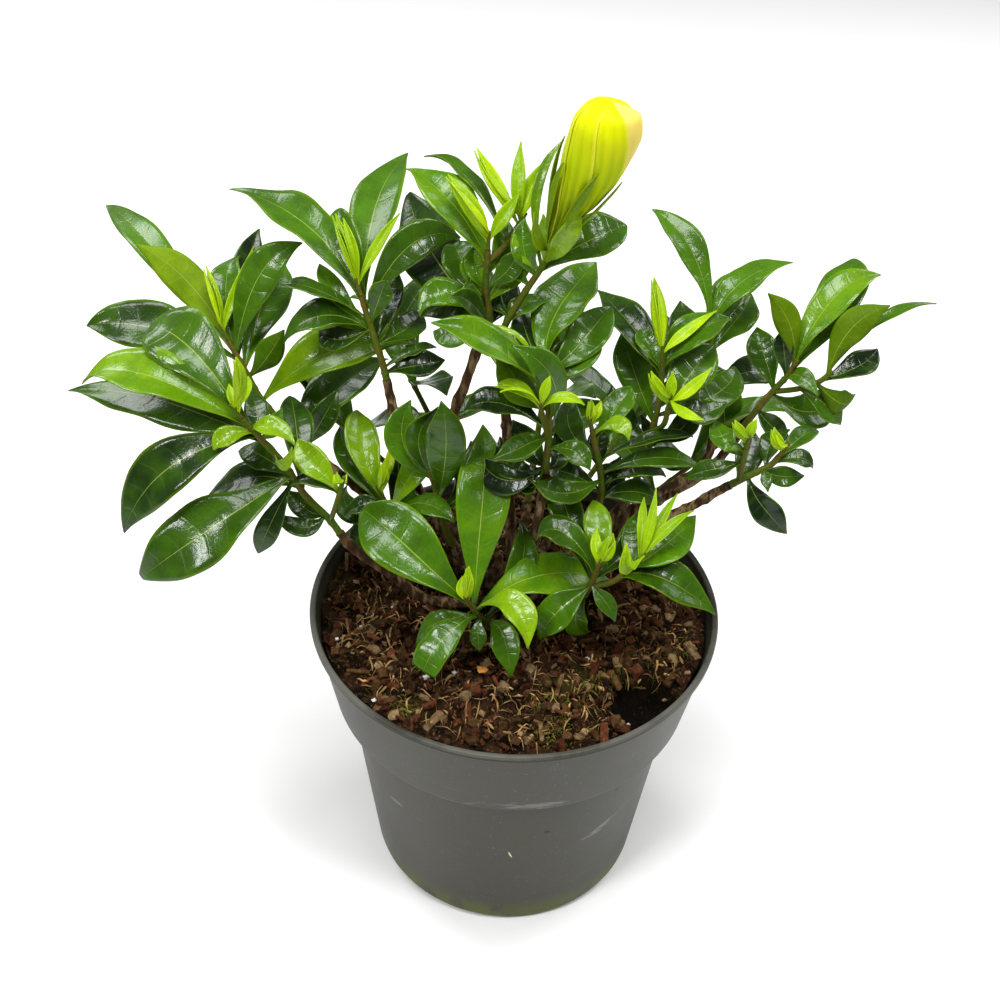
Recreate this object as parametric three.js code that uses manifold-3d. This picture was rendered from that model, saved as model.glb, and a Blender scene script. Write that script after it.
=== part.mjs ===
// A gardenia in a plastic nursery pot: pot, soil, woody stems, leafy shoots, new growth and one flower bud.
// Millimetres, +Z up. The origin is at the middle of the pot's base, on the ground. The front is -Y.

import * as THREE from 'three';
import { mergeVertices } from 'three/addons/utils/BufferGeometryUtils.js';
import Module from 'manifold-3d';

const wasm = await Module();
wasm.setup();

// ---------------------------------------------------------------- driving dimensions

// pot, from the ground up
const POT_HEIGHT = 142;
const RIM_RADIUS = 85;
const RIM_LIP_WIDTH = 3.2;
const RIM_LIP_DEPTH = 3.6;
const COLLAR_FOOT_RADIUS = 77;
const COLLAR_FOOT_HEIGHT = 100.5;
const COLLAR_STEP_DROP = 3.5;
const BODY_TOP_RADIUS = 71;
const BASE_RADIUS = 61.5;
const BASE_EDGE = 2.5;
const WALL = 1.8;
const FLOOR = 2.6;
const POT_SIDES = 40;
const DRAIN_HOLE_RADIUS = 4.5;
const DRAIN_HOLE_CIRCLE = 44;
const DRAIN_HOLES = 6;
const DRAIN_HOLE_SIDES = 8;

// soil
const GAP = 0.3;
const SOIL_LEVEL = 135;
const SOIL_BOTTOM = FLOOR + GAP;
const SOIL_RELIEF = 1.6;
const SOIL_RINGS = 6;
const SOIL_SECTORS = 28;
const CHIP_COUNT = 24;
const CHIP_LENGTH = 8;

// plant
const CROWN_RISE = 5.5;
const CROWN = new THREE.Vector3(0, 0, SOIL_LEVEL + CROWN_RISE);
const CROWN_RADIUS = 5.4;
const CROWN_TOP_RADIUS = 4.6;
const CROWN_DEPTH = 16;
const CROWN_TOP = 2;
const CROWN_STEPS = 2;
const WOOD_RADIUS = 2.5;
const WOOD_TIP_RADIUS = 1.75;
const WOOD_STEPS = 4;
const CURVE_STEPS = 12;
const GREEN_RADIUS = 1.5;
const GREEN_TIP_RADIUS = 1.1;
const GREEN_STEPS = 3;
const TWIG_STEPS = 2;
const GROWTH_RADIUS = 0.95;
const GROWTH_TIP_RADIUS = 0.67;
const GROWTH_LENGTH = 7;
const CROWN_SIDES = 6;
const STEM_SIDES = 5;
const GROWTH_SIDES = 4;
const BLADE_THICKNESS = 0.65;
const PETIOLE_WIDTH = 1.4;
const YOUNG_PETIOLE_WIDTH = 0.9;
const PETIOLE_DEPTH = 0.75;
const MIDRIB_DEPTH = 0.3;
const FOLD = 0.22;
const EDGE_WAVE = 0.45;

// the place the plant is seen from: its leaves are placed where they are seen from there
const EYE = new THREE.Vector3(-7.4, -366.9, 488.1);
const LOOK_DOWN = THREE.MathUtils.degToRad(38.7);
const HEAD_TILT = THREE.MathUtils.degToRad(2.0);
const FOCAL = 1200;
const PICTURE_MIDDLE = 500;
const LOOK = new THREE.Vector3(0, Math.cos(LOOK_DOWN), -Math.sin(LOOK_DOWN));
const LOOK_UP = new THREE.Vector3(0, Math.sin(LOOK_DOWN), Math.cos(LOOK_DOWN));
const LOOK_RIGHT = new THREE.Vector3(1, 0, 0);

// ---------------------------------------------------------------- the plant, shoot by shoot
//
// A stem is a row of points [across, down, back]: where it is seen in the picture, and mm behind the pot's
// middle plane. wood runs from the crown, green carries on from it, and twigs leave the green stem.
// A leaf has the picture points of its root, its tip and (by) the middle of its midrib, the mm its tip lies
// further from the eye than its root (far), its width in mm, and the degrees it is turned about its midrib.

const SHOOTS = [
  {
    name: 'front_left',
    wood: [[430, 600, -8], [390, 573, -14], [350, 545, -18]],
    green: [[330, 520, -20], [305, 495, -22], [285, 465, -24], [262, 440, -26], [242, 418, -28]],
    twigs: [{ from: [330, 522], path: [[336, 505, -27], [341, 488, -30]] }],
    leaves: [
      { root: [236, 412], by: [190, 348], tip: [148, 328], far: 10, wide: 25, turn: 8 },
      { root: [238, 414], by: [150, 377], tip: [78, 378], far: 0, wide: 21, turn: 38 },
      { root: [262, 440], by: [172, 404], tip: [66, 387], far: 25, wide: 20, turn: 30 },
      { root: [248, 424], by: [228, 436], tip: [213, 450], far: -6, wide: 9, turn: 20 },
      { root: [246, 420], by: [270, 428], tip: [297, 443], far: -6, wide: 12, turn: -35 },
      { root: [258, 434], by: [172, 466], tip: [119, 535], far: 6, wide: 20, turn: 22 },
      { root: [290, 478], by: [215, 526], tip: [136, 580], far: -6, wide: 24, turn: 20 },
      { root: [300, 490], by: [250, 478], tip: [196, 503], far: 8, wide: 15, turn: 40 },
      { root: [290, 480], by: [270, 525], tip: [258, 555], far: 8, wide: 9, turn: 0 },
      { root: [325, 516], by: [305, 528], tip: [272, 512], far: -4, wide: 8, turn: 20 },
      { root: [275, 455], by: [284, 465], tip: [292, 447], far: -6, wide: 7, turn: 0 },
      { root: [262, 436], by: [272, 428], tip: [282, 408], far: 8, wide: 13, turn: 20 },
      { root: [341, 492], by: [314, 464], tip: [297, 438], far: -1, wide: 11, turn: 10 },
      { root: [341, 494], by: [318, 480], tip: [288, 483], far: -2, wide: 9, turn: 35 },
    ],
  },
  {
    name: 'back_left',
    wood: [[455, 560, 4], [400, 520, 10], [345, 478, 16]],
    green: [[300, 440, 20], [262, 400, 25], [246, 372, 28], [228, 340, 31]],
    twigs: [],
    leaves: [
      { root: [226, 342], by: [152, 247], tip: [106, 206], far: 72, wide: 14, turn: 20 },
      { root: [234, 354], by: [186, 288], tip: [138, 248], far: 10, wide: 20, turn: 179 },
      { root: [234, 352], by: [152, 328], tip: [84, 324], far: -18, wide: 20, turn: 30 },
      { root: [230, 344], by: [226, 290], tip: [238, 252], far: 10, wide: 13, turn: -20 },
      { root: [228, 343], by: [256, 282], tip: [302, 241], far: -13, wide: 15, turn: -17 },
      { root: [240, 362], by: [262, 305], tip: [284, 263], far: 30, wide: 21, turn: -10 },
      { root: [248, 376], by: [268, 356], tip: [283, 330], far: -4, wide: 13, turn: 190 },
      { root: [232, 348], by: [245, 285], tip: [259, 227], far: 24, wide: 13, turn: 0 },
      { root: [262, 400], by: [332, 352], tip: [415, 337], far: -6, wide: 22, turn: -32 },
      { root: [298, 438], by: [336, 392], tip: [386, 351], far: 12, wide: 23, turn: -38 },
      { root: [306, 446], by: [322, 420], tip: [338, 389], far: -10, wide: 10, turn: 0 },
    ],
  },
  {
    name: 'upper_left',
    wood: [[450, 540, 8], [402, 450, 12], [390, 395, 18]],
    green: [[383, 365, 20], [370, 325, 23], [361, 296, 25]],
    twigs: [],
    leaves: [
      { root: [362, 298], by: [306, 226], tip: [229, 190], far: 22, wide: 19, turn: 35 },
      { root: [364, 302], by: [374, 215], tip: [408, 154], far: 52, wide: 20, turn: -33 },
      { root: [363, 300], by: [408, 247], tip: [461, 237], far: -12, wide: 14, turn: -9 },
      { root: [366, 312], by: [334, 290], tip: [320, 262], far: 4, wide: 8, turn: 18 },
      { root: [366, 310], by: [316, 290], tip: [280, 283], far: -4, wide: 9, turn: 55 },
      { root: [372, 328], by: [325, 316], tip: [279, 340], far: -2, wide: 15, turn: 45 },
      { root: [366, 310], by: [380, 296], tip: [387, 280], far: -10, wide: 9, turn: 0 },
      { root: [363, 300], by: [346, 245], tip: [338, 206], far: 11, wide: 12, turn: 0 },
      { root: [384, 368], by: [412, 352], tip: [437, 345], far: 1, wide: 8, turn: -60 },
      { root: [388, 385], by: [418, 366], tip: [445, 360], far: -4, wide: 15, turn: -30 },
      { root: [377, 345], by: [405, 330], tip: [420, 312], far: 16, wide: 12, turn: -20 },
    ],
  },
  {
    name: 'centre_left',
    wood: [[470, 600, 4], [434, 568, 4]],
    green: [[410, 540, 3], [393, 516, 2], [383, 498, 1]],
    twigs: [],
    leaves: [
      { root: [384, 500], by: [362, 446], tip: [358, 408], far: 10, wide: 14, turn: 15 },
      { root: [388, 508], by: [414, 470], tip: [437, 442], far: -11, wide: 11, turn: -2 },
      { root: [386, 504], by: [352, 462], tip: [340, 424], far: 14, wide: 10, turn: 0 },
      { root: [388, 510], by: [425, 504], tip: [455, 523], far: -19, wide: 11, turn: -40 },
      { root: [385, 502], by: [364, 505], tip: [344, 517], far: -2, wide: 10, turn: 30 },
      { root: [392, 518], by: [366, 530], tip: [352, 553], far: 1, wide: 13, turn: 20 },
    ],
  },
  {
    name: 'centre_low',
    wood: [[498, 596, 4], [462, 560, 4]],
    green: [[446, 530, 3], [438, 500, 2], [430, 470, 2]],
    twigs: [],
    leaves: [
      { root: [438, 500], by: [446, 450], tip: [441, 403], far: -32, wide: 16, turn: -10 },
      { root: [430, 476], by: [418, 440], tip: [440, 409], far: -9, wide: 12, turn: 20 },
      { root: [432, 478], by: [402, 440], tip: [411, 400], far: -8, wide: 14, turn: 8 },
      { root: [440, 510], by: [470, 480], tip: [470, 440], far: -7, wide: 14, turn: -20 },
      { root: [440, 512], by: [410, 505], tip: [392, 470], far: 4, wide: 12, turn: -16 },
    ],
  },
  {
    name: 'top_centre',
    wood: [[490, 590, 10], [455, 410, 12], [463, 390, 12], [472, 364, 12], [480, 342, 11]],
    green: [[489, 322, 10], [486, 290, 10], [488, 250, 10]],
    twigs: [{ from: [487, 262], path: [[503, 248, 12], [515, 230, 14]] }],
    leaves: [
      { root: [489, 322], by: [440, 265], tip: [405, 192], far: 26, wide: 24, turn: -8 },
      { root: [487, 262], by: [453, 206], tip: [407, 163], far: 0, wide: 17, turn: 30 },
      { root: [508, 240], by: [472, 172], tip: [423, 152], far: 12, wide: 9, turn: 60 },
      { root: [487, 288], by: [476, 270], tip: [475, 243], far: -3, wide: 9, turn: 10 },
      { root: [487, 286], by: [508, 270], tip: [520, 246], far: -8, wide: 12, turn: -10 },
      { root: [488, 312], by: [472, 300], tip: [470, 277], far: -9, wide: 9, turn: 0 },
      { root: [488, 318], by: [446, 293], tip: [417, 315], far: -8, wide: 11, turn: 22 },
      { root: [489, 322], by: [470, 303], tip: [452, 296], far: -30, wide: 8, turn: 30 },
      { root: [487, 300], by: [462, 262], tip: [452, 240], far: 11, wide: 14, turn: 0 },
      { root: [489, 320], by: [455, 335], tip: [432, 330], far: -2, wide: 13, turn: 22 },
    ],
  },
  {
    name: 'flower_shoot',
    wood: [[512, 560, 6], [505, 400, 6]],
    green: [[500, 340, 6], [520, 300, 6], [540, 270, 6], [548, 256, 6]],
    twigs: [],
    leaves: [
      { root: [538, 273], by: [540, 190], tip: [566, 139], far: 8, wide: 7, turn: -10 },
      { root: [536, 276], by: [524, 250], tip: [524, 217], far: -6, wide: 9, turn: 0 },
      { root: [541, 268], by: [596, 238], tip: [628, 224], far: 4, wide: 15, turn: -30 },
      { root: [504, 330], by: [520, 308], tip: [549, 299], far: -2, wide: 9, turn: -40 },
      { root: [502, 340], by: [525, 330], tip: [547, 318], far: 7, wide: 12, turn: -30 },
      { root: [510, 318], by: [482, 290], tip: [462, 268], far: 52, wide: 15, turn: 2 },
    ],
  },
  {
    name: 'centre',
    wood: [[525, 575, -4], [543, 490, -6]],
    green: [[547, 455, -8], [549, 430, -9], [548, 395, -8], [546, 358, -6]],
    twigs: [{ from: [549, 440], path: [[545, 426, -15], [542, 413, -19]] }],
    leaves: [
      { root: [548, 400], by: [500, 352], tip: [433, 319], far: -32, wide: 16, turn: 56 },
      { root: [548, 392], by: [510, 350], tip: [470, 331], far: 0, wide: 12, turn: 20 },
      { root: [549, 410], by: [520, 385], tip: [498, 352], far: 0, wide: 13, turn: 200 },
      { root: [549, 420], by: [552, 378], tip: [512, 345], far: -25, wide: 12, turn: 20 },
      { root: [546, 360], by: [560, 308], tip: [598, 257], far: 14, wide: 21, turn: -28 },
      { root: [548, 396], by: [562, 365], tip: [571, 333], far: 2, wide: 11, turn: 0 },
      { root: [548, 438], by: [525, 446], tip: [493, 459], far: -6, wide: 12, turn: 30 },
      { root: [549, 432], by: [500, 404], tip: [463, 410], far: 2, wide: 13, turn: 40 },
      { root: [547, 372], by: [585, 338], tip: [612, 304], far: 9, wide: 15, turn: -10 },
      { root: [547, 380], by: [580, 360], tip: [598, 328], far: 4, wide: 11, turn: -20 },
      { root: [547, 450], by: [575, 452], tip: [590, 470], far: -8, wide: 12, turn: -20 },
      { root: [546, 362], by: [528, 340], tip: [520, 310], far: 10, wide: 12, turn: 28 },
    ],
  },
  {
    name: 'centre_right',
    wood: [[545, 590, 0], [585, 530, 0]],
    green: [[600, 500, -1], [600, 470, -2], [592, 430, -4]],
    twigs: [],
    leaves: [
      { root: [593, 434], by: [618, 424], tip: [630, 440], far: -8, wide: 8, turn: -30 },
      { root: [594, 440], by: [616, 410], tip: [631, 386], far: 4, wide: 11, turn: -20 },
      { root: [598, 460], by: [650, 440], tip: [694, 436], far: 0, wide: 8, turn: -55 },
      { root: [600, 475], by: [655, 458], tip: [705, 467], far: -4, wide: 11, turn: -45 },
      { root: [600, 486], by: [636, 468], tip: [668, 475], far: -4, wide: 11, turn: -40 },
      { root: [600, 492], by: [570, 474], tip: [545, 470], far: 4, wide: 11, turn: 30 },
      { root: [600, 498], by: [634, 492], tip: [664, 502], far: 0, wide: 14, turn: -30 },
      { root: [597, 458], by: [570, 430], tip: [575, 395], far: 12, wide: 12, turn: 10 },
      { root: [600, 480], by: [562, 494], tip: [530, 480], far: -11, wide: 12, turn: 30 },
    ],
  },
  {
    name: 'right',
    wood: [[545, 570, 8], [610, 520, 8]],
    green: [[645, 460, 8], [654, 425, 9], [661, 390, 10], [662, 362, 10]],
    twigs: [{ from: [652, 432], path: [[664, 424, 4], [668, 408, 2]] }],
    leaves: [
      { root: [654, 425], by: [634, 372], tip: [621, 333], far: 0, wide: 14, turn: 15 },
      { root: [662, 368], by: [690, 335], tip: [732, 316], far: 2, wide: 14, turn: -20 },
      { root: [666, 418], by: [690, 375], tip: [718, 342], far: 1, wide: 18, turn: -10 },
      { root: [660, 396], by: [696, 412], tip: [727, 402], far: 0, wide: 11, turn: -30 },
      { root: [656, 416], by: [715, 395], tip: [737, 362], far: 14, wide: 14, turn: -20 },
      { root: [662, 366], by: [648, 345], tip: [641, 327], far: 5, wide: 8, turn: 18 },
      { root: [661, 376], by: [635, 332], tip: [598, 290], far: 16, wide: 15, turn: 30 },
      { root: [648, 448], by: [670, 462], tip: [690, 455], far: 6, wide: 11, turn: -30 },
      { root: [650, 440], by: [622, 420], tip: [612, 385], far: 12, wide: 12, turn: 10 },
    ],
  },
  {
    name: 'upper_right',
    wood: [[560, 570, 14], [645, 500, 18], [700, 468, 24], [713, 440, 27]],
    green: [[713, 400, 29], [711, 360, 30], [709, 318, 31]],
    twigs: [],
    leaves: [
      { root: [709, 320], by: [692, 252], tip: [652, 208], far: 2, wide: 14, turn: 32 },
      { root: [709, 322], by: [740, 284], tip: [793, 263], far: 0, wide: 15, turn: -35 },
      { root: [711, 352], by: [735, 322], tip: [751, 294], far: 12, wide: 14, turn: -10 },
      { root: [712, 380], by: [690, 340], tip: [680, 300], far: 14, wide: 15, turn: 10 },
      { root: [712, 392], by: [750, 372], tip: [775, 380], far: 12, wide: 15, turn: -30 },
      { root: [711, 345], by: [725, 300], tip: [745, 270], far: 24, wide: 14, turn: 0 },
    ],
  },
  {
    name: 'far_right',
    wood: [[580, 560, 20], [650, 505, 26], [702, 475, 30], [730, 446, 28]],
    green: [[755, 412, 26], [772, 392, 25], [788, 375, 24], [797, 360, 24]],
    twigs: [{ from: [772, 392], path: [[802, 388, 22], [822, 380, 20], [832, 371, 20]] }],
    leaves: [
      { root: [796, 362], by: [790, 325], tip: [768, 293], far: -12, wide: 10, turn: 190 },
      { root: [797, 361], by: [830, 303], tip: [883, 270], far: 0, wide: 15, turn: -28 },
      { root: [796, 362], by: [838, 300], tip: [851, 253], far: 14, wide: 19, turn: -18 },
      { root: [774, 390], by: [764, 355], tip: [757, 327], far: 2, wide: 16, turn: 0 },
      { root: [786, 377], by: [784, 350], tip: [783, 329], far: -8, wide: 8, turn: 0 },
      { root: [782, 382], by: [800, 376], tip: [818, 396], far: -10, wide: 9, turn: -20 },
      { root: [830, 373], by: [850, 330], tip: [890, 306], far: -9, wide: 12, turn: 187 },
      { root: [830, 373], by: [880, 326], tip: [937, 303], far: 6, wide: 8, turn: -50 },
      { root: [826, 377], by: [856, 368], tip: [877, 349], far: 8, wide: 11, turn: -20 },
      { root: [800, 389], by: [825, 405], tip: [840, 425], far: 7, wide: 15, turn: -20 },
      { root: [772, 394], by: [805, 412], tip: [838, 402], far: 12, wide: 22, turn: -20 },
      { root: [820, 381], by: [842, 404], tip: [855, 394], far: 12, wide: 11, turn: 190 },
      { root: [758, 410], by: [770, 425], tip: [790, 440], far: 6, wide: 12, turn: -20 },
    ],
  },
  {
    name: 'lower_right',
    wood: [[570, 590, 6], [645, 528, 0], [690, 507, -3], [720, 490, -5]],
    green: [[740, 480, -6], [757, 472, -6], [772, 464, -6], [779, 456, -6]],
    twigs: [{ from: [740, 481], path: [[742, 464, -10], [746, 448, -12]] }],
    leaves: [
      { root: [778, 458], by: [800, 438], tip: [820, 430], far: 13, wide: 8, turn: -25 },
      { root: [776, 460], by: [800, 458], tip: [815, 468], far: 0, wide: 8, turn: -30 },
      { root: [746, 450], by: [734, 446], tip: [724, 452], far: -5, wide: 8, turn: 30 },
      { root: [762, 470], by: [766, 478], tip: [768, 492], far: -4, wide: 10, turn: 0 },
      { root: [748, 477], by: [764, 508], tip: [787, 534], far: 4, wide: 11, turn: 10 },
      { root: [744, 462], by: [712, 470], tip: [683, 477], far: 6, wide: 9, turn: 30 },
      { root: [766, 467], by: [770, 445], tip: [790, 430], far: 8, wide: 11, turn: -20 },
      { root: [745, 456], by: [724, 440], tip: [716, 418], far: 10, wide: 11, turn: 20 },
    ],
  },
  {
    name: 'front',
    wood: [[505, 622, -14]],
    green: [[495, 625, -24], [480, 616, -31], [470, 604, -36]],
    twigs: [],
    leaves: [
      { root: [473, 607], by: [482, 505], tip: [483, 424], far: 6, wide: 21, turn: 6 },
      { root: [472, 606], by: [402, 546], tip: [352, 506], far: 2, wide: 24, turn: 12 },
      { root: [476, 611], by: [540, 576], tip: [609, 579], far: 18, wide: 19, turn: -30 },
      { root: [474, 608], by: [514, 606], tip: [528, 649], far: -10, wide: 12, turn: -20 },
      { root: [476, 612], by: [446, 636], tip: [421, 672], far: -10, wide: 13, turn: 15 },
      { root: [480, 617], by: [440, 622], tip: [414, 646], far: 0, wide: 10, turn: 30 },
      { root: [480, 616], by: [478, 634], tip: [480, 652], far: -2, wide: 9, turn: 0 },
      { root: [488, 622], by: [504, 638], tip: [511, 679], far: -8, wide: 12, turn: 0 },
      { root: [484, 620], by: [520, 570], tip: [521, 520], far: 4, wide: 12, turn: 8 },
    ],
  },
  {
    name: 'front_right',
    wood: [[545, 622, -10]],
    green: [[572, 608, -20], [588, 590, -26], [597, 570, -29]],
    twigs: [{ from: [590, 586], path: [[612, 582, -30], [634, 564, -31]] }],
    leaves: [
      { root: [595, 574], by: [562, 532], tip: [534, 538], far: 0, wide: 14, turn: 25 },
      { root: [594, 578], by: [568, 515], tip: [552, 470], far: 15, wide: 13, turn: 0 },
      { root: [596, 572], by: [598, 530], tip: [593, 500], far: 8, wide: 11, turn: 0 },
      { root: [632, 566], by: [662, 548], tip: [698, 514], far: 12, wide: 16, turn: -12 },
      { root: [628, 570], by: [632, 545], tip: [628, 517], far: 10, wide: 8, turn: 0 },
      { root: [616, 580], by: [660, 578], tip: [718, 614], far: 2, wide: 16, turn: -30 },
      { root: [592, 584], by: [604, 600], tip: [616, 622], far: 0, wide: 7, turn: 0 },
      { root: [590, 587], by: [560, 610], tip: [536, 640], far: 4, wide: 15, turn: 15 },
      { root: [586, 592], by: [575, 620], tip: [590, 632], far: 10, wide: 14, turn: -10 },
      { root: [594, 576], by: [636, 540], tip: [650, 505], far: 14, wide: 14, turn: -10 },
    ],
  },
];

// New growth: a short shoot that carries on from a stem's end, with narrow pale leaves round it.
const NEW_GROWTH = [
  {
    name: 'front_left_growth', on: 'front_left',
    leaves: [
      { by: [240, 382], tip: [236, 357], far: -15, wide: 6.5, turn: 0 },
      { by: [232, 398], tip: [229, 384], far: 2, wide: 5, turn: 20 },
      { by: [246, 392], tip: [248, 376], far: 4, wide: 5, turn: -20 },
    ],
  },
  {
    name: 'low_left_growth', on: 'front_left', twig: 0,
    leaves: [
      { by: [338, 480], tip: [337, 472], far: 0, wide: 4, turn: 0 },
      { by: [344, 482], tip: [347, 474], far: 2, wide: 4, turn: 0 },
    ],
  },
  {
    name: 'back_left_growth', on: 'back_left',
    leaves: [
      { by: [216, 298], tip: [206, 266], far: 0, wide: 5, turn: 18 },
      { by: [232, 300], tip: [254, 246], far: 4, wide: 5, turn: 0 },
    ],
  },
  {
    name: 'upper_left_growth', on: 'upper_left',
    leaves: [
      { by: [348, 250], tip: [335, 213], far: 0, wide: 6, turn: 0 },
      { by: [354, 252], tip: [343, 218], far: -4, wide: 6, turn: -30 },
      { by: [376, 248], tip: [400, 213], far: 4, wide: 5.5, turn: -10 },
    ],
  },
  {
    name: 'centre_left_growth', on: 'centre_left',
    leaves: [
      { by: [383, 478], tip: [384, 461], far: -6, wide: 5.5, turn: 0 },
      { by: [389, 464], tip: [392, 442], far: 4, wide: 5.5, turn: 0 },
    ],
  },
  {
    name: 'top_growth', on: 'top_centre',
    leaves: [
      { by: [474, 212], tip: [448, 174], far: -4, wide: 8, turn: 10 },
      { by: [503, 218], tip: [519, 194], far: -4, wide: 7, turn: -10 },
    ],
  },
  {
    name: 'top_side_growth', on: 'top_centre', twig: 0,
    leaves: [
      { by: [498, 188], tip: [477, 148], far: 2, wide: 6.5, turn: 10 },
      { by: [518, 185], tip: [521, 141], far: -2, wide: 7, turn: 0 },
      { by: [530, 192], tip: [550, 157], far: 3, wide: 7, turn: -10 },
    ],
  },
  {
    name: 'centre_growth', on: 'centre', twig: 0,
    leaves: [
      { by: [520, 388], tip: [497, 384], far: -4, wide: 6, turn: 30 },
      { by: [562, 398], tip: [585, 405], far: -4, wide: 6, turn: -30 },
      { by: [545, 390], tip: [550, 376], far: -4, wide: 5, turn: 0 },
    ],
  },
  {
    name: 'centre_right_growth', on: 'centre_right',
    leaves: [
      { by: [591, 412], tip: [591, 399], far: 0, wide: 4.5, turn: 0 },
      { by: [597, 412], tip: [601, 401], far: -2, wide: 4.5, turn: 0 },
    ],
  },
  {
    name: 'right_growth', on: 'right',
    leaves: [
      { by: [659, 315], tip: [654, 277], far: 0, wide: 8, turn: 0 },
      { by: [684, 334], tip: [717, 310], far: 4, wide: 6, turn: -20 },
    ],
  },
  {
    name: 'right_side_growth', on: 'right', twig: 0,
    leaves: [
      { by: [660, 390], tip: [651, 371], far: -7, wide: 5.5, turn: 0 },
      { by: [671, 388], tip: [673, 372], far: -4, wide: 5.5, turn: 0 },
      { by: [690, 390], tip: [712, 367], far: -4, wide: 6.5, turn: -20 },
      { by: [684, 414], tip: [704, 420], far: -8, wide: 6, turn: -30 },
    ],
  },
  {
    name: 'lower_right_growth', on: 'lower_right',
    leaves: [
      { by: [778, 442], tip: [774, 427], far: -2, wide: 6, turn: 0 },
    ],
  },
  {
    name: 'lower_right_side_growth', on: 'lower_right', twig: 0,
    leaves: [
      { by: [741, 432], tip: [735, 420], far: -2, wide: 5, turn: 0 },
      { by: [751, 430], tip: [757, 419], far: -2, wide: 5, turn: 0 },
    ],
  },
  {
    name: 'front_growth', on: 'front',
    leaves: [
      { by: [468, 584], tip: [469, 566], far: -6, wide: 6, turn: 0 },
      { by: [461, 590], tip: [463, 576], far: 2, wide: 5, turn: 0 },
    ],
  },
  {
    name: 'front_right_growth', on: 'front_right',
    leaves: [
      { by: [606, 552], tip: [613, 533], far: 0, wide: 9, turn: -10 },
      { by: [596, 548], tip: [597, 528], far: 3, wide: 6, turn: 10 },
    ],
  },
  {
    name: 'front_right_side_growth', on: 'front_right', twig: 0,
    leaves: [
      { by: [626, 566], tip: [628, 543], far: -10, wide: 11, turn: 30 },
      { by: [642, 525], tip: [644, 497], far: 5, wide: 5, turn: 0 },
      { by: [650, 528], tip: [656, 488], far: -2, wide: 5, turn: 0 },
      { by: [658, 526], tip: [678, 493], far: 6, wide: 5, turn: 0 },
      { by: [664, 532], tip: [694, 510], far: 2, wide: 6, turn: -20 },
    ],
  },
];

// The flower bud's axis, as it is seen, and its petals.
const BUD_AXIS = [[551, 243, 6], [576, 202, 5], [599, 160, 3], [610, 122, 1], [613, 101, 0]];
const BUD_RADII = [2, 5.6, 8.6, 10.2, 10.0, 7.6, 1.2];
const BUD_STATIONS = [0, 0.2, 0.42, 0.64, 0.84, 0.96, 1];
const BUD_RINGS = 12;
// rings of the bud lie closer together towards its top
const BUD_CROWDING = 0.85;
const BUD_FRAMES = 60;
const BUD_PETALS = 6;
// turns of the petals from the bud's foot to its top
const BUD_TWIST = 0.22;
// across a petal, from the edge tucked under its neighbour to the edge that lies on top
const PETAL_PLACES = [0, 0.36, 0.72, 0.94];
const PETAL_EDGE = 0.17;
const CUP_RADIUS = 2;
const CUP_STEPS = 2;
const SEPALS = 6;
const SEPAL_REACH = 0.5;
const SEPAL_SHORT_REACH = 0.41;
const SEPAL_TURN = 0.25;
const SEPAL_WIDTH = 4.2;
const SEPAL_CLEARANCE = 1.5;
const SEPAL_SHARES = [0.2, 0.5, 0.46, 0.34, 0.1];
const SEPAL_ROOT = -0.08;
const SEPAL_ROOT_RADIUS = 1;
const CALYX_LEAVES = [
  { by: [535, 238], tip: [534, 212], far: -20, wide: 5, turn: 40 },
];

// Shoots round the back, by rule: where each tip stands, and which way its first pair of leaves points.
const BACK_SHOOTS = [
  { name: 'back_far_left', tip: [-88, 56, 200], from: [-36, 36, 160], bearing: 60, seed: 322 },
  { name: 'back_middle_left', tip: [-56, 75, 219], from: [-19, 33, 165], bearing: 30, seed: 35 },
  { name: 'back_middle', tip: [11, 66, 215], from: [5, 39, 169], bearing: 40, seed: 400 },
  { name: 'back_middle_right', tip: [60, 78, 198], from: [24, 36, 167], bearing: 80, seed: 257 },
  { name: 'back_far_right', tip: [92, 65, 182], from: [45, 37, 156], bearing: 130, seed: 238 },
];
const BACK_NODES = 3;
const BACK_LEAF_LENGTH = 50;
const BACK_LEAF_WIDTH = 20;
const BACK_LENGTH_RANGE = [0.8, 1.1];
const BACK_WIDTH_RANGE = [0.85, 1.1];
const BACK_TOP_SIZE = 0.8;
// shares of a back shoot's length: where its wood ends, and the bare green below its first pair of leaves
const BACK_WOOD_END = 0.42;
const BACK_BARE = 0.24;
// degrees: how steeply the lowest and highest pairs rise, and how far a leaf strays from its rule
const BACK_LOW_RISE = 8;
const BACK_TOP_RISE = 58;
const BEARING_STRAY = 12;
const RISE_STRAY = 7;
// low leaves that would point this far forwards, into the shade of the plant, have dropped
const SHADED = -0.3;

// ---------------------------------------------------------------- small helpers

// A repeatable row of random numbers from 0 to 1.
function seeded(seed) {
  let state = seed;
  return () => {
    state = (state * 16807) % 2147483647;
    return state / 2147483647;
  };
}

function mix(a, b, t) {
  return a + (b - a) * t;
}

// Reads a row of values at evenly or unevenly spaced stations.
function reading(stations, values, t) {
  let i = 0;
  while (i < stations.length - 2 && t > stations[i + 1]) i += 1;
  const part = (t - stations[i]) / (stations[i + 1] - stations[i]);
  return mix(values[i], values[i + 1], THREE.MathUtils.smoothstep(part, 0, 1));
}

// The line of sight through a point of the picture, one mm deep.
function sightLine([across, down]) {
  const a = (across - PICTURE_MIDDLE) / FOCAL;
  const b = (PICTURE_MIDDLE - down) / FOCAL;
  const x = Math.cos(HEAD_TILT) * a - Math.sin(HEAD_TILT) * b;
  const y = Math.sin(HEAD_TILT) * a + Math.cos(HEAD_TILT) * b;
  return LOOK.clone().addScaledVector(LOOK_RIGHT, x).addScaledVector(LOOK_UP, y);
}

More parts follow.
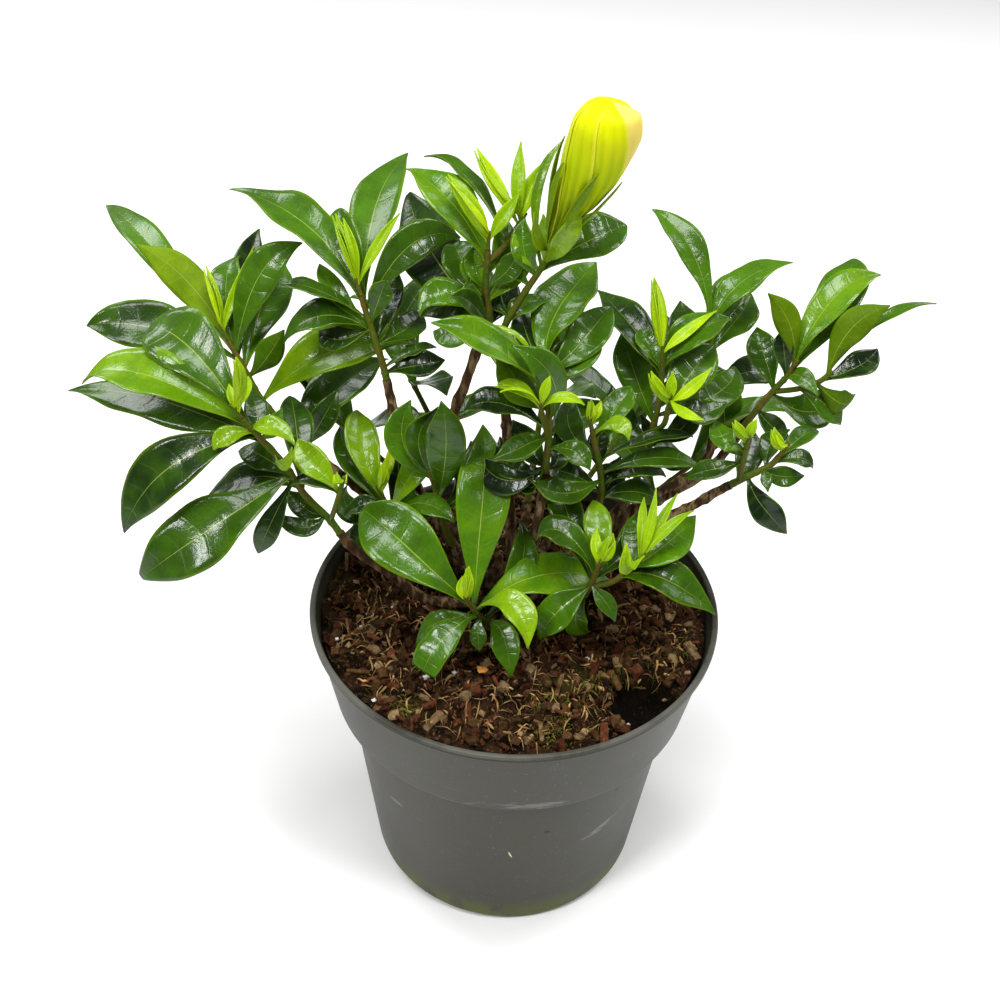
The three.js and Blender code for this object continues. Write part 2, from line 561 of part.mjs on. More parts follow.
// The point seen at a place in the picture, on the upright plane that many mm behind the pot's middle.
function seenOnPlane([across, down, back]) {
  const line = sightLine([across, down]);
  return EYE.clone().addScaledVector(line, (back - EYE.y) / line.y);
}

function depthOf(point) {
  return point.clone().sub(EYE).dot(LOOK);
}

function seenAtDepth(place, depth) {
  return EYE.clone().addScaledVector(sightLine(place), depth);
}

function placeOf(point) {
  const d = point.clone().sub(EYE);
  const depth = d.dot(LOOK);
  const x = d.dot(LOOK_RIGHT) / depth;
  const y = d.dot(LOOK_UP) / depth;
  return [
    PICTURE_MIDDLE + FOCAL * (Math.cos(HEAD_TILT) * x + Math.sin(HEAD_TILT) * y),
    PICTURE_MIDDLE - FOCAL * (Math.cos(HEAD_TILT) * y - Math.sin(HEAD_TILT) * x),
  ];
}

// ---------------------------------------------------------------- solids

function geometryOf(points, faces) {
  const geometry = new THREE.BufferGeometry();
  geometry.setAttribute('position', new THREE.Float32BufferAttribute(points.flatMap((p) => p.toArray()), 3));
  geometry.setIndex(faces.flat());
  return geometry;
}

function volumeOf(geometry) {
  const at = geometry.getAttribute('position');
  const index = geometry.getIndex();
  const corner = [new THREE.Vector3(), new THREE.Vector3(), new THREE.Vector3()];
  let volume = 0;
  for (let i = 0; i < index.count; i += 3) {
    corner.forEach((c, k) => c.fromBufferAttribute(at, index.getX(i + k)));
    volume += corner[0].dot(corner[1].clone().cross(corner[2])) / 6;
  }
  return volume;
}

const MERGE_DISTANCE = 1e-4;

// A closed geometry as a solid, with its faces turned outwards.
function solidOf(geometry) {
  geometry.deleteAttribute('normal');
  geometry.deleteAttribute('uv');
  const merged = mergeVertices(geometry, MERGE_DISTANCE);
  const index = Array.from(merged.getIndex().array);
  if (volumeOf(merged) < 0) index.reverse();
  return new wasm.Manifold(new wasm.Mesh({
    numProp: 3,
    vertProperties: Float32Array.from(merged.getAttribute('position').array),
    triVerts: Uint32Array.from(index),
  }));
}

function joined(solids) {
  return solids.reduce((whole, solid) => whole.add(solid));
}

function meshOf(name, solid, finish) {
  const { vertProperties, triVerts } = solid.getMesh();
  const geometry = new THREE.BufferGeometry();
  geometry.setAttribute('position', new THREE.BufferAttribute(vertProperties, 3));
  geometry.setIndex(new THREE.BufferAttribute(triVerts, 1));
  geometry.computeVertexNormals();
  const mesh = new THREE.Mesh(geometry, new THREE.MeshStandardMaterial(finish));
  mesh.name = name;
  return mesh;
}

// A closed skin over a row of rings. crossed lists the strips that are cut along their other diagonal.
function skin(rings, crossed, cap) {
  const count = rings[0].length;
  const faces = [];
  for (let k = 0; k < rings.length - 1; k += 1) {
    for (let i = 0; i < count; i += 1) {
      const a = k * count + i;
      const b = k * count + ((i + 1) % count);
      if (crossed.includes(i)) faces.push([a, b, a + count], [b, b + count, a + count]);
      else faces.push([a, b, b + count], [a, b + count, a + count]);
    }
  }
  const last = (rings.length - 1) * count;
  for (const [a, b, c] of cap) {
    faces.push([a, c, b], [last + a, last + b, last + c]);
  }
  return geometryOf(rings.flat(), faces);
}

function fan(count) {
  return Array.from({ length: count - 2 }, (_, i) => [0, i + 1, i + 2]);
}

// A round limb along a curve, thinning towards its end.
function limb(curve, startRadius, endRadius, steps, sides = STEM_SIDES) {
  const frames = curve.computeFrenetFrames(steps, false);
  const rings = [];
  for (let k = 0; k <= steps; k += 1) {
    const middle = curve.getPointAt(k / steps);
    const radius = mix(startRadius, endRadius, k / steps);
    rings.push(Array.from({ length: sides }, (_, i) => {
      const angle = (2 * Math.PI * i) / sides;
      return middle.clone()
        .addScaledVector(frames.normals[k], radius * Math.cos(angle))
        .addScaledVector(frames.binormals[k], radius * Math.sin(angle));
    }));
  }
  return solidOf(skin(rings, [], fan(sides)));
}

// The part of a curve between two of its lengths.
function stretch(curve, from, to) {
  const points = Array.from({ length: CURVE_STEPS + 1 }, (_, i) => (
    curve.getPointAt(mix(from, to, i / CURVE_STEPS))));
  return new THREE.CatmullRomCurve3(points);
}

// ---------------------------------------------------------------- leaves

// a blade is widest a little beyond its middle when this is over 1
const BLADE_SKEW = 1.06;

// Share of a leaf's width at a share of its length: narrow at the petiole, drawn out to a point.
function bladeShare(t) {
  return Math.sin(Math.PI * Math.pow(t, BLADE_SKEW));
}

// the share of a leaf that is stalk, and how far along its wave the edge goes from root to tip
const STALK_SHARE = 1 / 6;
const WAVE_TURN = 9;

// A long blade is folded along its midrib, and a shorter one is a plain arched blade.
const LONG_BLADE = {
  least: 47,
  stations: [0, 0.18, 0.46, 0.76, 1],
  petiole: PETIOLE_WIDTH,
  crossed: [1, 4],
  cap: [[0, 1, 4], [0, 4, 5], [1, 2, 3], [1, 3, 4]],
};
const PLAIN = { petiole: PETIOLE_WIDTH, crossed: [2], cap: [[0, 1, 2], [0, 2, 3]] };
const MIDDLE_BLADE = { least: 24, stations: [0, 0.2, 0.5, 0.78, 1], ...PLAIN };
const SHORT_BLADE = { least: 0, stations: [0, 0.3, 0.68, 1], ...PLAIN };
const YOUNG_BLADE = { stations: [0, 0.45, 1], ...PLAIN, petiole: YOUNG_PETIOLE_WIDTH };
const BLADE_KINDS = [LONG_BLADE, MIDDLE_BLADE, SHORT_BLADE];
const TIP_WIDTH = 0.8;

function kindFor(length) {
  return BLADE_KINDS.find(({ least }) => length > least);
}

// A blade: root, middle and tip of its midrib, the way its face looks, and its width.
function blade(root, middle, tip, face, width, kind = kindFor(root.distanceTo(tip))) {
  const chord = tip.clone().sub(root);
  const side = face.clone().cross(chord).normalize();
  const bend = middle.clone().multiplyScalar(2).sub(root.clone().add(tip).multiplyScalar(0.5));
  const midrib = new THREE.QuadraticBezierCurve3(root, bend, tip);
  const rings = kind.stations.map((t) => {
    const along = midrib.getTangent(t);
    const across = side.clone().addScaledVector(along, -side.dot(along)).normalize();
    const up = along.clone().cross(across);
    const half = Math.max(width * bladeShare(t), mix(kind.petiole, TIP_WIDTH, t)) / 2;
    const stalk = Math.max(0, 1 - t / STALK_SHARE);
    const thick = mix(BLADE_THICKNESS, kind.petiole * PETIOLE_DEPTH, stalk);
    const rib = MIDRIB_DEPTH * (1 - t);
    const wave = EDGE_WAVE * Math.sin(t * WAVE_TURN) * (half * 2 / width);
    const at = (sideways, lift) => midrib.getPoint(t)
      .addScaledVector(across, sideways)
      .addScaledVector(up, lift);
    if (kind !== LONG_BLADE) {
      return [at(half, thick / 2), at(-half, thick / 2), at(-half, -thick / 2), at(half, -thick / 2)];
    }
    return [
      at(half, FOLD * half + wave + thick / 2),
      at(0, thick / 2),
      at(-half, FOLD * half - wave + thick / 2),
      at(-half, FOLD * half - wave - thick / 2),
      at(0, -thick / 2 - rib),
      at(half, FOLD * half + wave - thick / 2),
    ];
  });
  return solidOf(skin(rings, kind.crossed, kind.cap));
}

const ARCH_SHARE = 0.09;

// A leaf that is seen in the picture, grown from the point of its stem that is nearest to its root.
function seenLeaf(leaf, root, kind) {
  const depth = depthOf(root);
  const tip = seenAtDepth(leaf.tip, depth + leaf.far);
  const chord = tip.clone().sub(root);
  const middle = seenAtDepth(leaf.by, depth + leaf.far / 2 - ARCH_SHARE * chord.length());
  const sight = middle.clone().sub(EYE).normalize();
  const side = chord.clone().cross(sight).normalize();
  const face = chord.clone().cross(side).normalize();
  face.applyAxisAngle(chord.clone().normalize(), THREE.MathUtils.degToRad(leaf.turn));
  return blade(root, middle, tip, face, leaf.wide, kind);
}

const LENGTH_STEPS = 400;

// The length at which a curve is seen nearest to a place in the picture, between two of its lengths.
function nearestOn(curve, place, from, to) {
  const steps = 60;
  let nearest = from;
  let least = Infinity;
  for (let i = 0; i <= steps; i += 1) {
    const share = mix(from, to, i / steps);
    const [across, down] = placeOf(curve.getPointAt(share));
    const distance = Math.hypot(across - place[0], down - place[1]);
    if (distance < least) {
      least = distance;
      nearest = share;
    }
  }
  return { share: nearest, distance: least };
}

// The roots of leaves on their axes: where they are seen, but each a step below the one above it.
function rootsOf(leaves, axes) {
  const places = leaves.map((leaf) => {
    const choices = axes.map(({ curve, from, to }, axis) => (
      { axis, ...nearestOn(curve, leaf.root, from, to) }));
    return choices.sort((a, b) => a.distance - b.distance)[0];
  });
  axes.forEach(({ curve, from }, axis) => {
    const step = ROOT_STEP / curve.getLength();
    let ceiling = Infinity;
    const own = places.filter((place) => place.axis === axis).sort((a, b) => b.share - a.share);
    for (const place of own) {
      place.share = Math.max(from, Math.min(place.share, ceiling));
      ceiling = place.share - step;
    }
  });
  return places.map(({ axis, share }) => axes[axis].curve.getPointAt(share));
}

// ---------------------------------------------------------------- shoots

// leaves keep this far from a stem's end and from each other along it
const END_CLEARANCE = 2.6;
const ROOT_STEP = 1.7;
// shares of a twig's length and of a short new shoot's length
const TWIG_BARE = 0.2;
const TWIG_SEARCH = 0.02;
const GROWTH_FOOT = 0.2;
const GROWTH_HEAD = 0.95;

// The whole stem of a shoot, and the length at which its wood ends.
function stemOf(shoot) {
  const points = [CROWN, ...shoot.wood.map(seenOnPlane), ...shoot.green.map(seenOnPlane)];
  const curve = new THREE.CatmullRomCurve3(points, false, 'centripetal');
  const lengths = curve.getLengths(LENGTH_STEPS);
  const at = (i) => lengths[Math.round((LENGTH_STEPS * i) / (points.length - 1))] / curve.getLength();
  return { curve, woodEnd: mix(at(shoot.wood.length), at(shoot.wood.length + 1), 0.5) };
}

function twigCurve(shoot, twig, stem) {
  const start = stem.curve.getPointAt(nearestOn(stem.curve, twig.from, stem.woodEnd + TWIG_SEARCH, 1).share);
  return new THREE.CatmullRomCurve3([start, ...twig.path.map(seenOnPlane)], false, 'centripetal');
}

function leafyShoot(shoot) {
  const stem = stemOf(shoot);
  const length = stem.curve.getLength();
  const start = stem.woodEnd + GAP / length;
  const green = limb(stretch(stem.curve, start, 1), GREEN_RADIUS, GREEN_TIP_RADIUS, GREEN_STEPS);
  const twigs = shoot.twigs.map((twig) => twigCurve(shoot, twig, stem));
  const parts = [green, ...twigs.map((curve) => limb(curve, GREEN_TIP_RADIUS, GREEN_TIP_RADIUS, TWIG_STEPS))];
  const margin = END_CLEARANCE / length;
  const axes = [{ curve: stem.curve, from: start + margin, to: 1 - margin }];
  for (const curve of twigs) axes.push({ curve, from: TWIG_BARE, to: 1 - END_CLEARANCE / curve.getLength() });
  const roots = rootsOf(shoot.leaves, axes);
  const leaves = shoot.leaves.map((leaf, i) => seenLeaf(leaf, roots[i]));
  return { stem, twigs, parts, leaves };
}

function growthAt(growth, grown) {
  const host = grown[growth.on];
  const curve = growth.twig === undefined ? host.stem.curve : host.twigs[growth.twig];
  const end = curve.getPointAt(1);
  const along = curve.getTangentAt(1);
  const start = end.clone().addScaledVector(along, GAP);
  const axis = new THREE.LineCurve3(start, end.clone().addScaledVector(along, GROWTH_LENGTH));
  const core = limb(axis, GROWTH_RADIUS, GROWTH_TIP_RADIUS, 1, GROWTH_SIDES);
  const count = growth.leaves.length;
  const roots = growth.leaves.map((_, i) => (
    axis.getPointAt(mix(GROWTH_FOOT, GROWTH_HEAD, (i + 0.5) / count))));
  const leaves = growth.leaves.map((leaf, i) => seenLeaf(leaf, roots[i], YOUNG_BLADE));
  return { parts: [core], leaves };
}

// A shoot at the back: pairs of leaves, each pair a quarter turn round from the one below.
function backShoot(plan) {
  const random = seeded(plan.seed);
  const stray = (most) => mix(-most, most, random());
  const points = [CROWN, new THREE.Vector3(...plan.from), new THREE.Vector3(...plan.tip)];
  const curve = new THREE.CatmullRomCurve3(points, false, 'centripetal');
  const length = curve.getLength();
  const start = BACK_WOOD_END + GAP / length;
  const parts = [limb(stretch(curve, start, 1), GREEN_RADIUS, GREEN_TIP_RADIUS, GREEN_STEPS)];
  const leaves = [];
  for (let node = 0; node < BACK_NODES; node += 1) {
    const height = node / (BACK_NODES - 1);
    const root = curve.getPointAt(mix(start + BACK_BARE, 1 - END_CLEARANCE / length, height));
    for (const half of [0, 180]) {
      const bearing = THREE.MathUtils.degToRad(plan.bearing + node * 90 + half + stray(BEARING_STRAY));
      const rise = THREE.MathUtils.degToRad(mix(BACK_LOW_RISE, BACK_TOP_RISE, height) + stray(RISE_STRAY));
      const out = new THREE.Vector3(Math.cos(bearing), Math.sin(bearing), 0);
      const way = out.clone().multiplyScalar(Math.cos(rise)).setZ(Math.sin(rise));
      if (node === 0 && way.y < SHADED) continue;
      const face = new THREE.Vector3(0, 0, 1).addScaledVector(way, -way.z).normalize();
      const size = BACK_LEAF_LENGTH * mix(...BACK_LENGTH_RANGE, random()) * mix(1, BACK_TOP_SIZE, height);
      const width = BACK_LEAF_WIDTH * mix(...BACK_WIDTH_RANGE, random());
      const tip = root.clone().addScaledVector(way, size);
      const middle = root.clone().add(tip).multiplyScalar(0.5).addScaledVector(face, ARCH_SHARE * size);
      leaves.push(blade(root, middle, tip, face, width, SHORT_BLADE));
    }
  }
  return { stem: { curve, woodEnd: BACK_WOOD_END }, twigs: [], parts, leaves };
}

// ---------------------------------------------------------------- wood

function woodOf(grown) {
  const crownTop = CROWN.clone().setZ(CROWN.z + CROWN_TOP);
  const crownFoot = CROWN.clone().setZ(CROWN.z - CROWN_DEPTH);
  const crownAxis = new THREE.LineCurve3(crownFoot, crownTop);
  const crown = limb(crownAxis, CROWN_RADIUS, CROWN_TOP_RADIUS, CROWN_STEPS, CROWN_SIDES);
  const branches = grown.map(({ stem }) => (
    limb(stretch(stem.curve, 0, stem.woodEnd), WOOD_RADIUS, WOOD_TIP_RADIUS, WOOD_STEPS)));
  return joined([crown, ...branches]);
}

// ---------------------------------------------------------------- flower bud

function budRadius(t) {
  return reading(BUD_STATIONS, BUD_RADII, t);
}

// The way out of the bud's axis at a share of its length, that far round it.
function outwards(frames, t, angle) {
  const k = Math.round(t * BUD_FRAMES);
  return frames.normals[k].clone().multiplyScalar(Math.cos(angle))
    .addScaledVector(frames.binormals[k], Math.sin(angle));
}

function budCurve() {
  return new THREE.CatmullRomCurve3(BUD_AXIS.map(seenOnPlane));
}

function flowerBud() {
  const curve = budCurve();
  const frames = curve.computeFrenetFrames(BUD_FRAMES, false);
  const rings = [];
  for (let k = 0; k <= BUD_RINGS; k += 1) {
    const t = Math.pow(k / BUD_RINGS, BUD_CROWDING);
    const middle = curve.getPointAt(t);
    const ring = [];
    for (let petal = 0; petal < BUD_PETALS; petal += 1) {
      for (const place of PETAL_PLACES) {
        const angle = 2 * Math.PI * ((petal + place) / BUD_PETALS - BUD_TWIST * t);
        const radius = budRadius(t) * (1 + PETAL_EDGE * (place - 0.5));
        ring.push(middle.clone().addScaledVector(outwards(frames, t, angle), radius));
      }
    }
    rings.push(ring);
  }
  return solidOf(skin(rings, [], fan(rings[0].length)));
}

// The green cup under the bud, its long narrow sepals, and the young leaf beside it.
function calyx(host) {
  const bud = budCurve();
  const end = host.stem.curve.getPointAt(1);
  const foot = bud.getPointAt(0);
  const along = foot.clone().sub(end).normalize();
  const start = end.clone().addScaledVector(along, GAP);
  const top = foot.clone().addScaledVector(along, -2 * GAP);
  const core = limb(new THREE.LineCurve3(start, top), GREEN_TIP_RADIUS, CUP_RADIUS, CUP_STEPS, CROWN_SIDES);
  const frames = bud.computeFrenetFrames(BUD_FRAMES, false);
  const parts = [core];
  for (let sepal = 0; sepal < SEPALS; sepal += 1) {
    const angle = (2 * Math.PI * (sepal + SEPAL_TURN)) / SEPALS;
    const reach = sepal % 2 ? SEPAL_REACH : SEPAL_SHORT_REACH;
    const rings = SEPAL_SHARES.map((share, k) => {
      const t = mix(SEPAL_ROOT, reach, k / (SEPAL_SHARES.length - 1));
      const held = Math.max(t, 0);
      const out = outwards(frames, held, angle);
      const across = frames.tangents[Math.round(held * BUD_FRAMES)].clone().cross(out).normalize();
      const clear = k === 0 ? SEPAL_ROOT_RADIUS : budRadius(held) * (1 + PETAL_EDGE / 2) + SEPAL_CLEARANCE;
      const middle = bud.getPointAt(held).addScaledVector(along, t < 0 ? t * bud.getLength() : 0);
      const half = SEPAL_WIDTH * share;
      const at = (sideways, lift) => middle.clone()
        .addScaledVector(across, sideways)
        .addScaledVector(out, clear + lift);
      return [at(half, BLADE_THICKNESS), at(-half, BLADE_THICKNESS), at(-half, 0), at(half, 0)];
    });
    parts.push(solidOf(skin(rings, MIDDLE_BLADE.crossed, MIDDLE_BLADE.cap)));
  }
  const leafRoot = start.clone().lerp(top, 0.5);
  const leaves = CALYX_LEAVES.map((leaf) => seenLeaf(leaf, leafRoot));
  return { parts, leaves };
}

// ---------------------------------------------------------------- pot

const LIP_OVERHANG = 1.2;
const CORNER = 0.8;

function wallRadius(z) {
  const collarTop = RIM_RADIUS - LIP_OVERHANG;
  if (z >= COLLAR_FOOT_HEIGHT) {
    const t = (z - COLLAR_FOOT_HEIGHT) / (POT_HEIGHT - COLLAR_FOOT_HEIGHT);
    return mix(COLLAR_FOOT_RADIUS, collarTop, t);
  }
  return mix(BASE_RADIUS, BODY_TOP_RADIUS, z / (COLLAR_FOOT_HEIGHT - COLLAR_STEP_DROP));
}

function pot() {
  const stepFoot = COLLAR_FOOT_HEIGHT - COLLAR_STEP_DROP;
  const lipFoot = POT_HEIGHT - RIM_LIP_DEPTH;
  const inner = RIM_RADIUS - RIM_LIP_WIDTH;
  const outline = [
    [0, 0],
    [BASE_RADIUS - BASE_EDGE, 0],
    [BASE_RADIUS, BASE_EDGE],
    [BODY_TOP_RADIUS, stepFoot],
    [COLLAR_FOOT_RADIUS - CORNER, COLLAR_FOOT_HEIGHT - CORNER],
    [COLLAR_FOOT_RADIUS, COLLAR_FOOT_HEIGHT + CORNER],
    [wallRadius(lipFoot), lipFoot],
    [RIM_RADIUS, lipFoot + CORNER],
    [RIM_RADIUS, POT_HEIGHT - CORNER],
    [RIM_RADIUS - CORNER, POT_HEIGHT],
    [inner + CORNER, POT_HEIGHT],
    [inner, POT_HEIGHT - CORNER],
    [COLLAR_FOOT_RADIUS - WALL, COLLAR_FOOT_HEIGHT + WALL],
    [BODY_TOP_RADIUS - WALL, stepFoot],
    [BASE_RADIUS - WALL, FLOOR],
    [0, FLOOR],
  ].map(([radius, height]) => new THREE.Vector2(radius, height));
  const turned = new THREE.LatheGeometry(outline, POT_SIDES);
  turned.rotateX(Math.PI / 2);
  let body = solidOf(turned);
  for (let i = 0; i < DRAIN_HOLES; i += 1) {
    const angle = (2 * Math.PI * (i + 0.5)) / DRAIN_HOLES;
    const radius = DRAIN_HOLE_RADIUS;
    const drill = new THREE.CylinderGeometry(radius, radius, FLOOR * 3, DRAIN_HOLE_SIDES);
    drill.rotateX(Math.PI / 2);
    drill.translate(DRAIN_HOLE_CIRCLE * Math.cos(angle), DRAIN_HOLE_CIRCLE * Math.sin(angle), FLOOR / 2);
    body = body.subtract(solidOf(drill));
  }
  return body;
}

// ---------------------------------------------------------------- soil

const SOIL_SEED = 7;
const SOIL_SIDE_GAP = 0.45;
const SOIL_EDGE_GAP = 0.75;
const SOIL_LIP = 1.5;
const SOIL_MIDDLE_RADIUS = 2;
// where the soil is washed out, and the dip round the foot of the stems
const HOLLOW = { x: 50, y: -44, radius: 9, depth: 8 };
const DIP = { reach: 22, depth: 3.4 };
// shares of the relief that are broad lumps and single grains
const LUMP_SHARE = 0.45;
const GRAIN_SHARE = 0.55;
const CHIP_WIDTHS = [2.4, 4.2];
const CHIP_HEIGHTS = [4, 5];
const CHIP_LENGTHS = [0.6, 1.2];
const CHIP_TILT = 0.3;
const CHIP_RISE = 0.9;
const CHIP_EDGE_CLEARANCE = 7;
const HOLE_SIDES = 16;

function soilHeight(x, y, random) {
  const lumps = Math.sin(x * 0.21 + 1.3) * Math.cos(y * 0.17) + Math.sin((x + y) * 0.33) * 0.6;
  const grains = mix(-1, 1, random());
  const dip = DIP.depth * Math.max(0, 1 - Math.hypot(x, y) / DIP.reach);
  const away = Math.hypot(x - HOLLOW.x, y - HOLLOW.y) / HOLLOW.radius;
  const hollow = HOLLOW.depth * Math.max(0, 1 - away * away);
  return SOIL_LEVEL + SOIL_RELIEF * (LUMP_SHARE * lumps + GRAIN_SHARE * grains) - dip - hollow;
}

// A bark chip that lies half in the soil.
function barkChip(edge, random) {
  const chip = new THREE.BoxGeometry(
    CHIP_LENGTH * mix(...CHIP_LENGTHS, random()),
    mix(...CHIP_WIDTHS, random()),
    mix(...CHIP_HEIGHTS, random()),
  );
  chip.rotateX(mix(-CHIP_TILT, CHIP_TILT, random()));
  chip.rotateY(mix(-CHIP_TILT, CHIP_TILT, random()));
  chip.rotateZ(mix(0, Math.PI, random()));
  const angle = 2 * Math.PI * random();
  const radius = mix(DIP.reach, edge - CHIP_EDGE_CLEARANCE, Math.sqrt(random()));
  const place = new THREE.Vector3(radius * Math.cos(angle), radius * Math.sin(angle), SOIL_LEVEL + CHIP_RISE);
  chip.translate(...place);
  const away = Math.hypot(place.x - HOLLOW.x, place.y - HOLLOW.y);
  return away > HOLLOW.radius + CHIP_LENGTH / 2 ? solidOf(chip) : null;
}

function soil() {
  const random = seeded(SOIL_SEED);
  const stepFoot = COLLAR_FOOT_HEIGHT - COLLAR_STEP_DROP;
  const ring = (radius, height) => Array.from({ length: SOIL_SECTORS }, (_, i) => {
    const angle = (2 * Math.PI * i) / SOIL_SECTORS;
    const x = radius * Math.cos(angle);
    const y = radius * Math.sin(angle);
    return new THREE.Vector3(x, y, height === null ? soilHeight(x, y, random) : height);
  });
  const inset = WALL + SOIL_SIDE_GAP;
  const t = (SOIL_LEVEL - COLLAR_FOOT_HEIGHT) / (POT_HEIGHT - COLLAR_FOOT_HEIGHT);
  const edge = mix(COLLAR_FOOT_RADIUS - WALL, RIM_RADIUS - RIM_LIP_WIDTH, t) - SOIL_EDGE_GAP;
  const rings = [
    ring(BASE_RADIUS - inset, SOIL_BOTTOM),
    ring(BODY_TOP_RADIUS - inset, stepFoot),
    ring(COLLAR_FOOT_RADIUS - inset, COLLAR_FOOT_HEIGHT + WALL),
    ring(edge, SOIL_LEVEL - SOIL_RELIEF),
  ];
  for (let k = 0; k < SOIL_RINGS; k += 1) {
    rings.push(ring(mix(edge - SOIL_LIP, SOIL_MIDDLE_RADIUS, k / (SOIL_RINGS - 1)), null));
  }
  rings.push(ring(SOIL_MIDDLE_RADIUS / 2, SOIL_LEVEL - DIP.depth));
  let body = solidOf(skin(rings, [], fan(SOIL_SECTORS)));
  for (let i = 0; i < CHIP_COUNT; i += 1) {
    const chip = barkChip(edge, random);
    if (chip) body = body.add(chip);
  }
  const holeRadius = CROWN_RADIUS + GAP;
  const hole = new THREE.CylinderGeometry(holeRadius, holeRadius, CROWN_DEPTH * 2, HOLE_SIDES);
  hole.rotateX(Math.PI / 2);
  hole.translate(CROWN.x, CROWN.y, CROWN.z - GAP);
  return body.subtract(solidOf(hole));
}

// ---------------------------------------------------------------- the whole

const FINISH = {
  pot: { color: 0x5c5b56, roughness: 0.45, metalness: 0 },
  soil: { color: 0x3a2216, roughness: 0.95, metalness: 0 },
  wood: { color: 0x5d4a30, roughness: 0.8, metalness: 0 },
  leaf: { color: 0x1f4d1c, roughness: 0.3, metalness: 0 },
  growth: { color: 0xa6cc2a, roughness: 0.4, metalness: 0 },
  calyx: { color: 0x6b9a22, roughness: 0.4, metalness: 0 },
  bud: { color: 0xd6dc3c, roughness: 0.45, metalness: 0 },
};

const grown = {};
for (const shoot of SHOOTS) grown[shoot.name] = leafyShoot(shoot);
for (const plan of BACK_SHOOTS) grown[plan.name] = backShoot(plan);

const plant = new THREE.Group();
plant.add(meshOf('pot', pot(), FINISH.pot));
plant.add(meshOf('soil', soil(), FINISH.soil));
plant.add(meshOf('woody_stems', woodOf(Object.values(grown)), FINISH.wood));
for (const [name, { parts, leaves }] of Object.entries(grown)) {
  plant.add(meshOf(`${name}_leaves`, joined([...parts, ...leaves]), FINISH.leaf));
}
for (const growth of NEW_GROWTH) {
  const { parts, leaves } = growthAt(growth, grown);
  plant.add(meshOf(growth.name, joined([...parts, ...leaves]), FINISH.growth));
}
const cup = calyx(grown.flower_shoot);
plant.add(meshOf('flower_calyx', joined([...cup.parts, ...cup.leaves]), FINISH.calyx));
plant.add(meshOf('flower_bud', flowerBud(), FINISH.bud));

export default plant;
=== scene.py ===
"""A gardenia in a plastic nursery pot, as it looks: glossy leaves, lime new growth, one bud and bark soil.

Metres, +Z up, the pot's base at the origin and the front at -Y. The shoots and their leaves are those of the
solid parts, so each piece grows where its solid stands. Some rows are finer here than there: a few leaves are
slimmer, one has a cut tip, and small dark leaves inside the plant are added.
"""

import math
import random

import bpy
import numpy as np
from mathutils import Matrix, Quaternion, Vector, noise


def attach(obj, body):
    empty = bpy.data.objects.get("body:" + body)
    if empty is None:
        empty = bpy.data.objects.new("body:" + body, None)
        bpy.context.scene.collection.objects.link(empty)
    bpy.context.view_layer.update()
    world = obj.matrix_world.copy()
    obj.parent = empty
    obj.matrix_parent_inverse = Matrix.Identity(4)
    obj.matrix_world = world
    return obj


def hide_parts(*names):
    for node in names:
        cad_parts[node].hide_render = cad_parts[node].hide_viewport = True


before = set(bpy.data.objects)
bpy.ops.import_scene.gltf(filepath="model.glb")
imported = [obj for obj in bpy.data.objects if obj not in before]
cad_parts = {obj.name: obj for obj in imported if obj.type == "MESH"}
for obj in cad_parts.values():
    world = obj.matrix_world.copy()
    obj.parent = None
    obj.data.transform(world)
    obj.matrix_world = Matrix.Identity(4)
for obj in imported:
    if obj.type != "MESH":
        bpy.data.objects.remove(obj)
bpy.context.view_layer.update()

MM = 0.001

# ---------------------------------------------------------------- the view of the photograph

EYE = np.array((-7.4, -366.9, 488.1)) * MM
LOOK_DOWN = math.radians(38.7)
HEAD_TILT = math.radians(2.0)
FOCAL = 1200
PICTURE_MIDDLE = 500
PICTURE_SIZE = 1000
SENSOR = 36
LOOK = np.array((0, math.cos(LOOK_DOWN), -math.sin(LOOK_DOWN)))
LOOK_UP = np.array((0, math.sin(LOOK_DOWN), math.cos(LOOK_DOWN)))
LOOK_RIGHT = np.array((1.0, 0, 0))

# ---------------------------------------------------------------- sizes shared with the solids

POT_HEIGHT = 142 * MM
RIM_RADIUS = 85 * MM
RIM_LIP_DEPTH = 3.6 * MM
COLLAR_FOOT_RADIUS = 77 * MM
COLLAR_FOOT_HEIGHT = 100.5 * MM
COLLAR_STEP_DROP = 3.5 * MM
BODY_TOP_RADIUS = 71 * MM
BASE_RADIUS = 61.5 * MM
BASE_EDGE = 2.5 * MM
WALL = 1.8 * MM
FLOOR = 2.6 * MM
LIP_OVERHANG = 1.2 * MM
DRAIN_HOLE_RADIUS = 4.5 * MM
DRAIN_HOLE_CIRCLE = 44 * MM
DRAIN_HOLES = 6

GAP = 0.3 * MM
SOIL_LEVEL = 135 * MM
CROWN = np.array((0, 0, 140.5)) * MM
CROWN_RADIUS = 5.4 * MM
WOOD_RADIUS = 2.5 * MM
WOOD_TIP_RADIUS = 1.75 * MM
GREEN_RADIUS = 1.5 * MM
GREEN_TIP_RADIUS = 1.1 * MM
GROWTH_RADIUS = 0.95 * MM
GROWTH_TIP_RADIUS = 0.67 * MM
GROWTH_LENGTH = 7 * MM
END_CLEARANCE = 2.6 * MM
ROOT_STEP = 1.7 * MM
ARCH_SHARE = 0.09
TWIG_BARE = 0.2
TWIG_SEARCH = 0.02
GROWTH_FOOT = 0.2
GROWTH_HEAD = 0.95

# ---------------------------------------------------------------- the plant, shoot by shoot
#
# A stem is a row of points (across, down, back): where it is seen in the picture, and mm behind the pot's
# middle plane. wood runs from the crown, green carries on from it, and twigs leave the green stem.
# A leaf has, in this order, the picture points of its root, of the middle of its midrib and of its tip, the
# mm that its tip lies further from the eye than its root, its width in mm, and the degrees it is turned about
# its midrib. Its tone, from 0 to 1, comes next where it isn't left to chance. cut means that its tip is cut
# off.


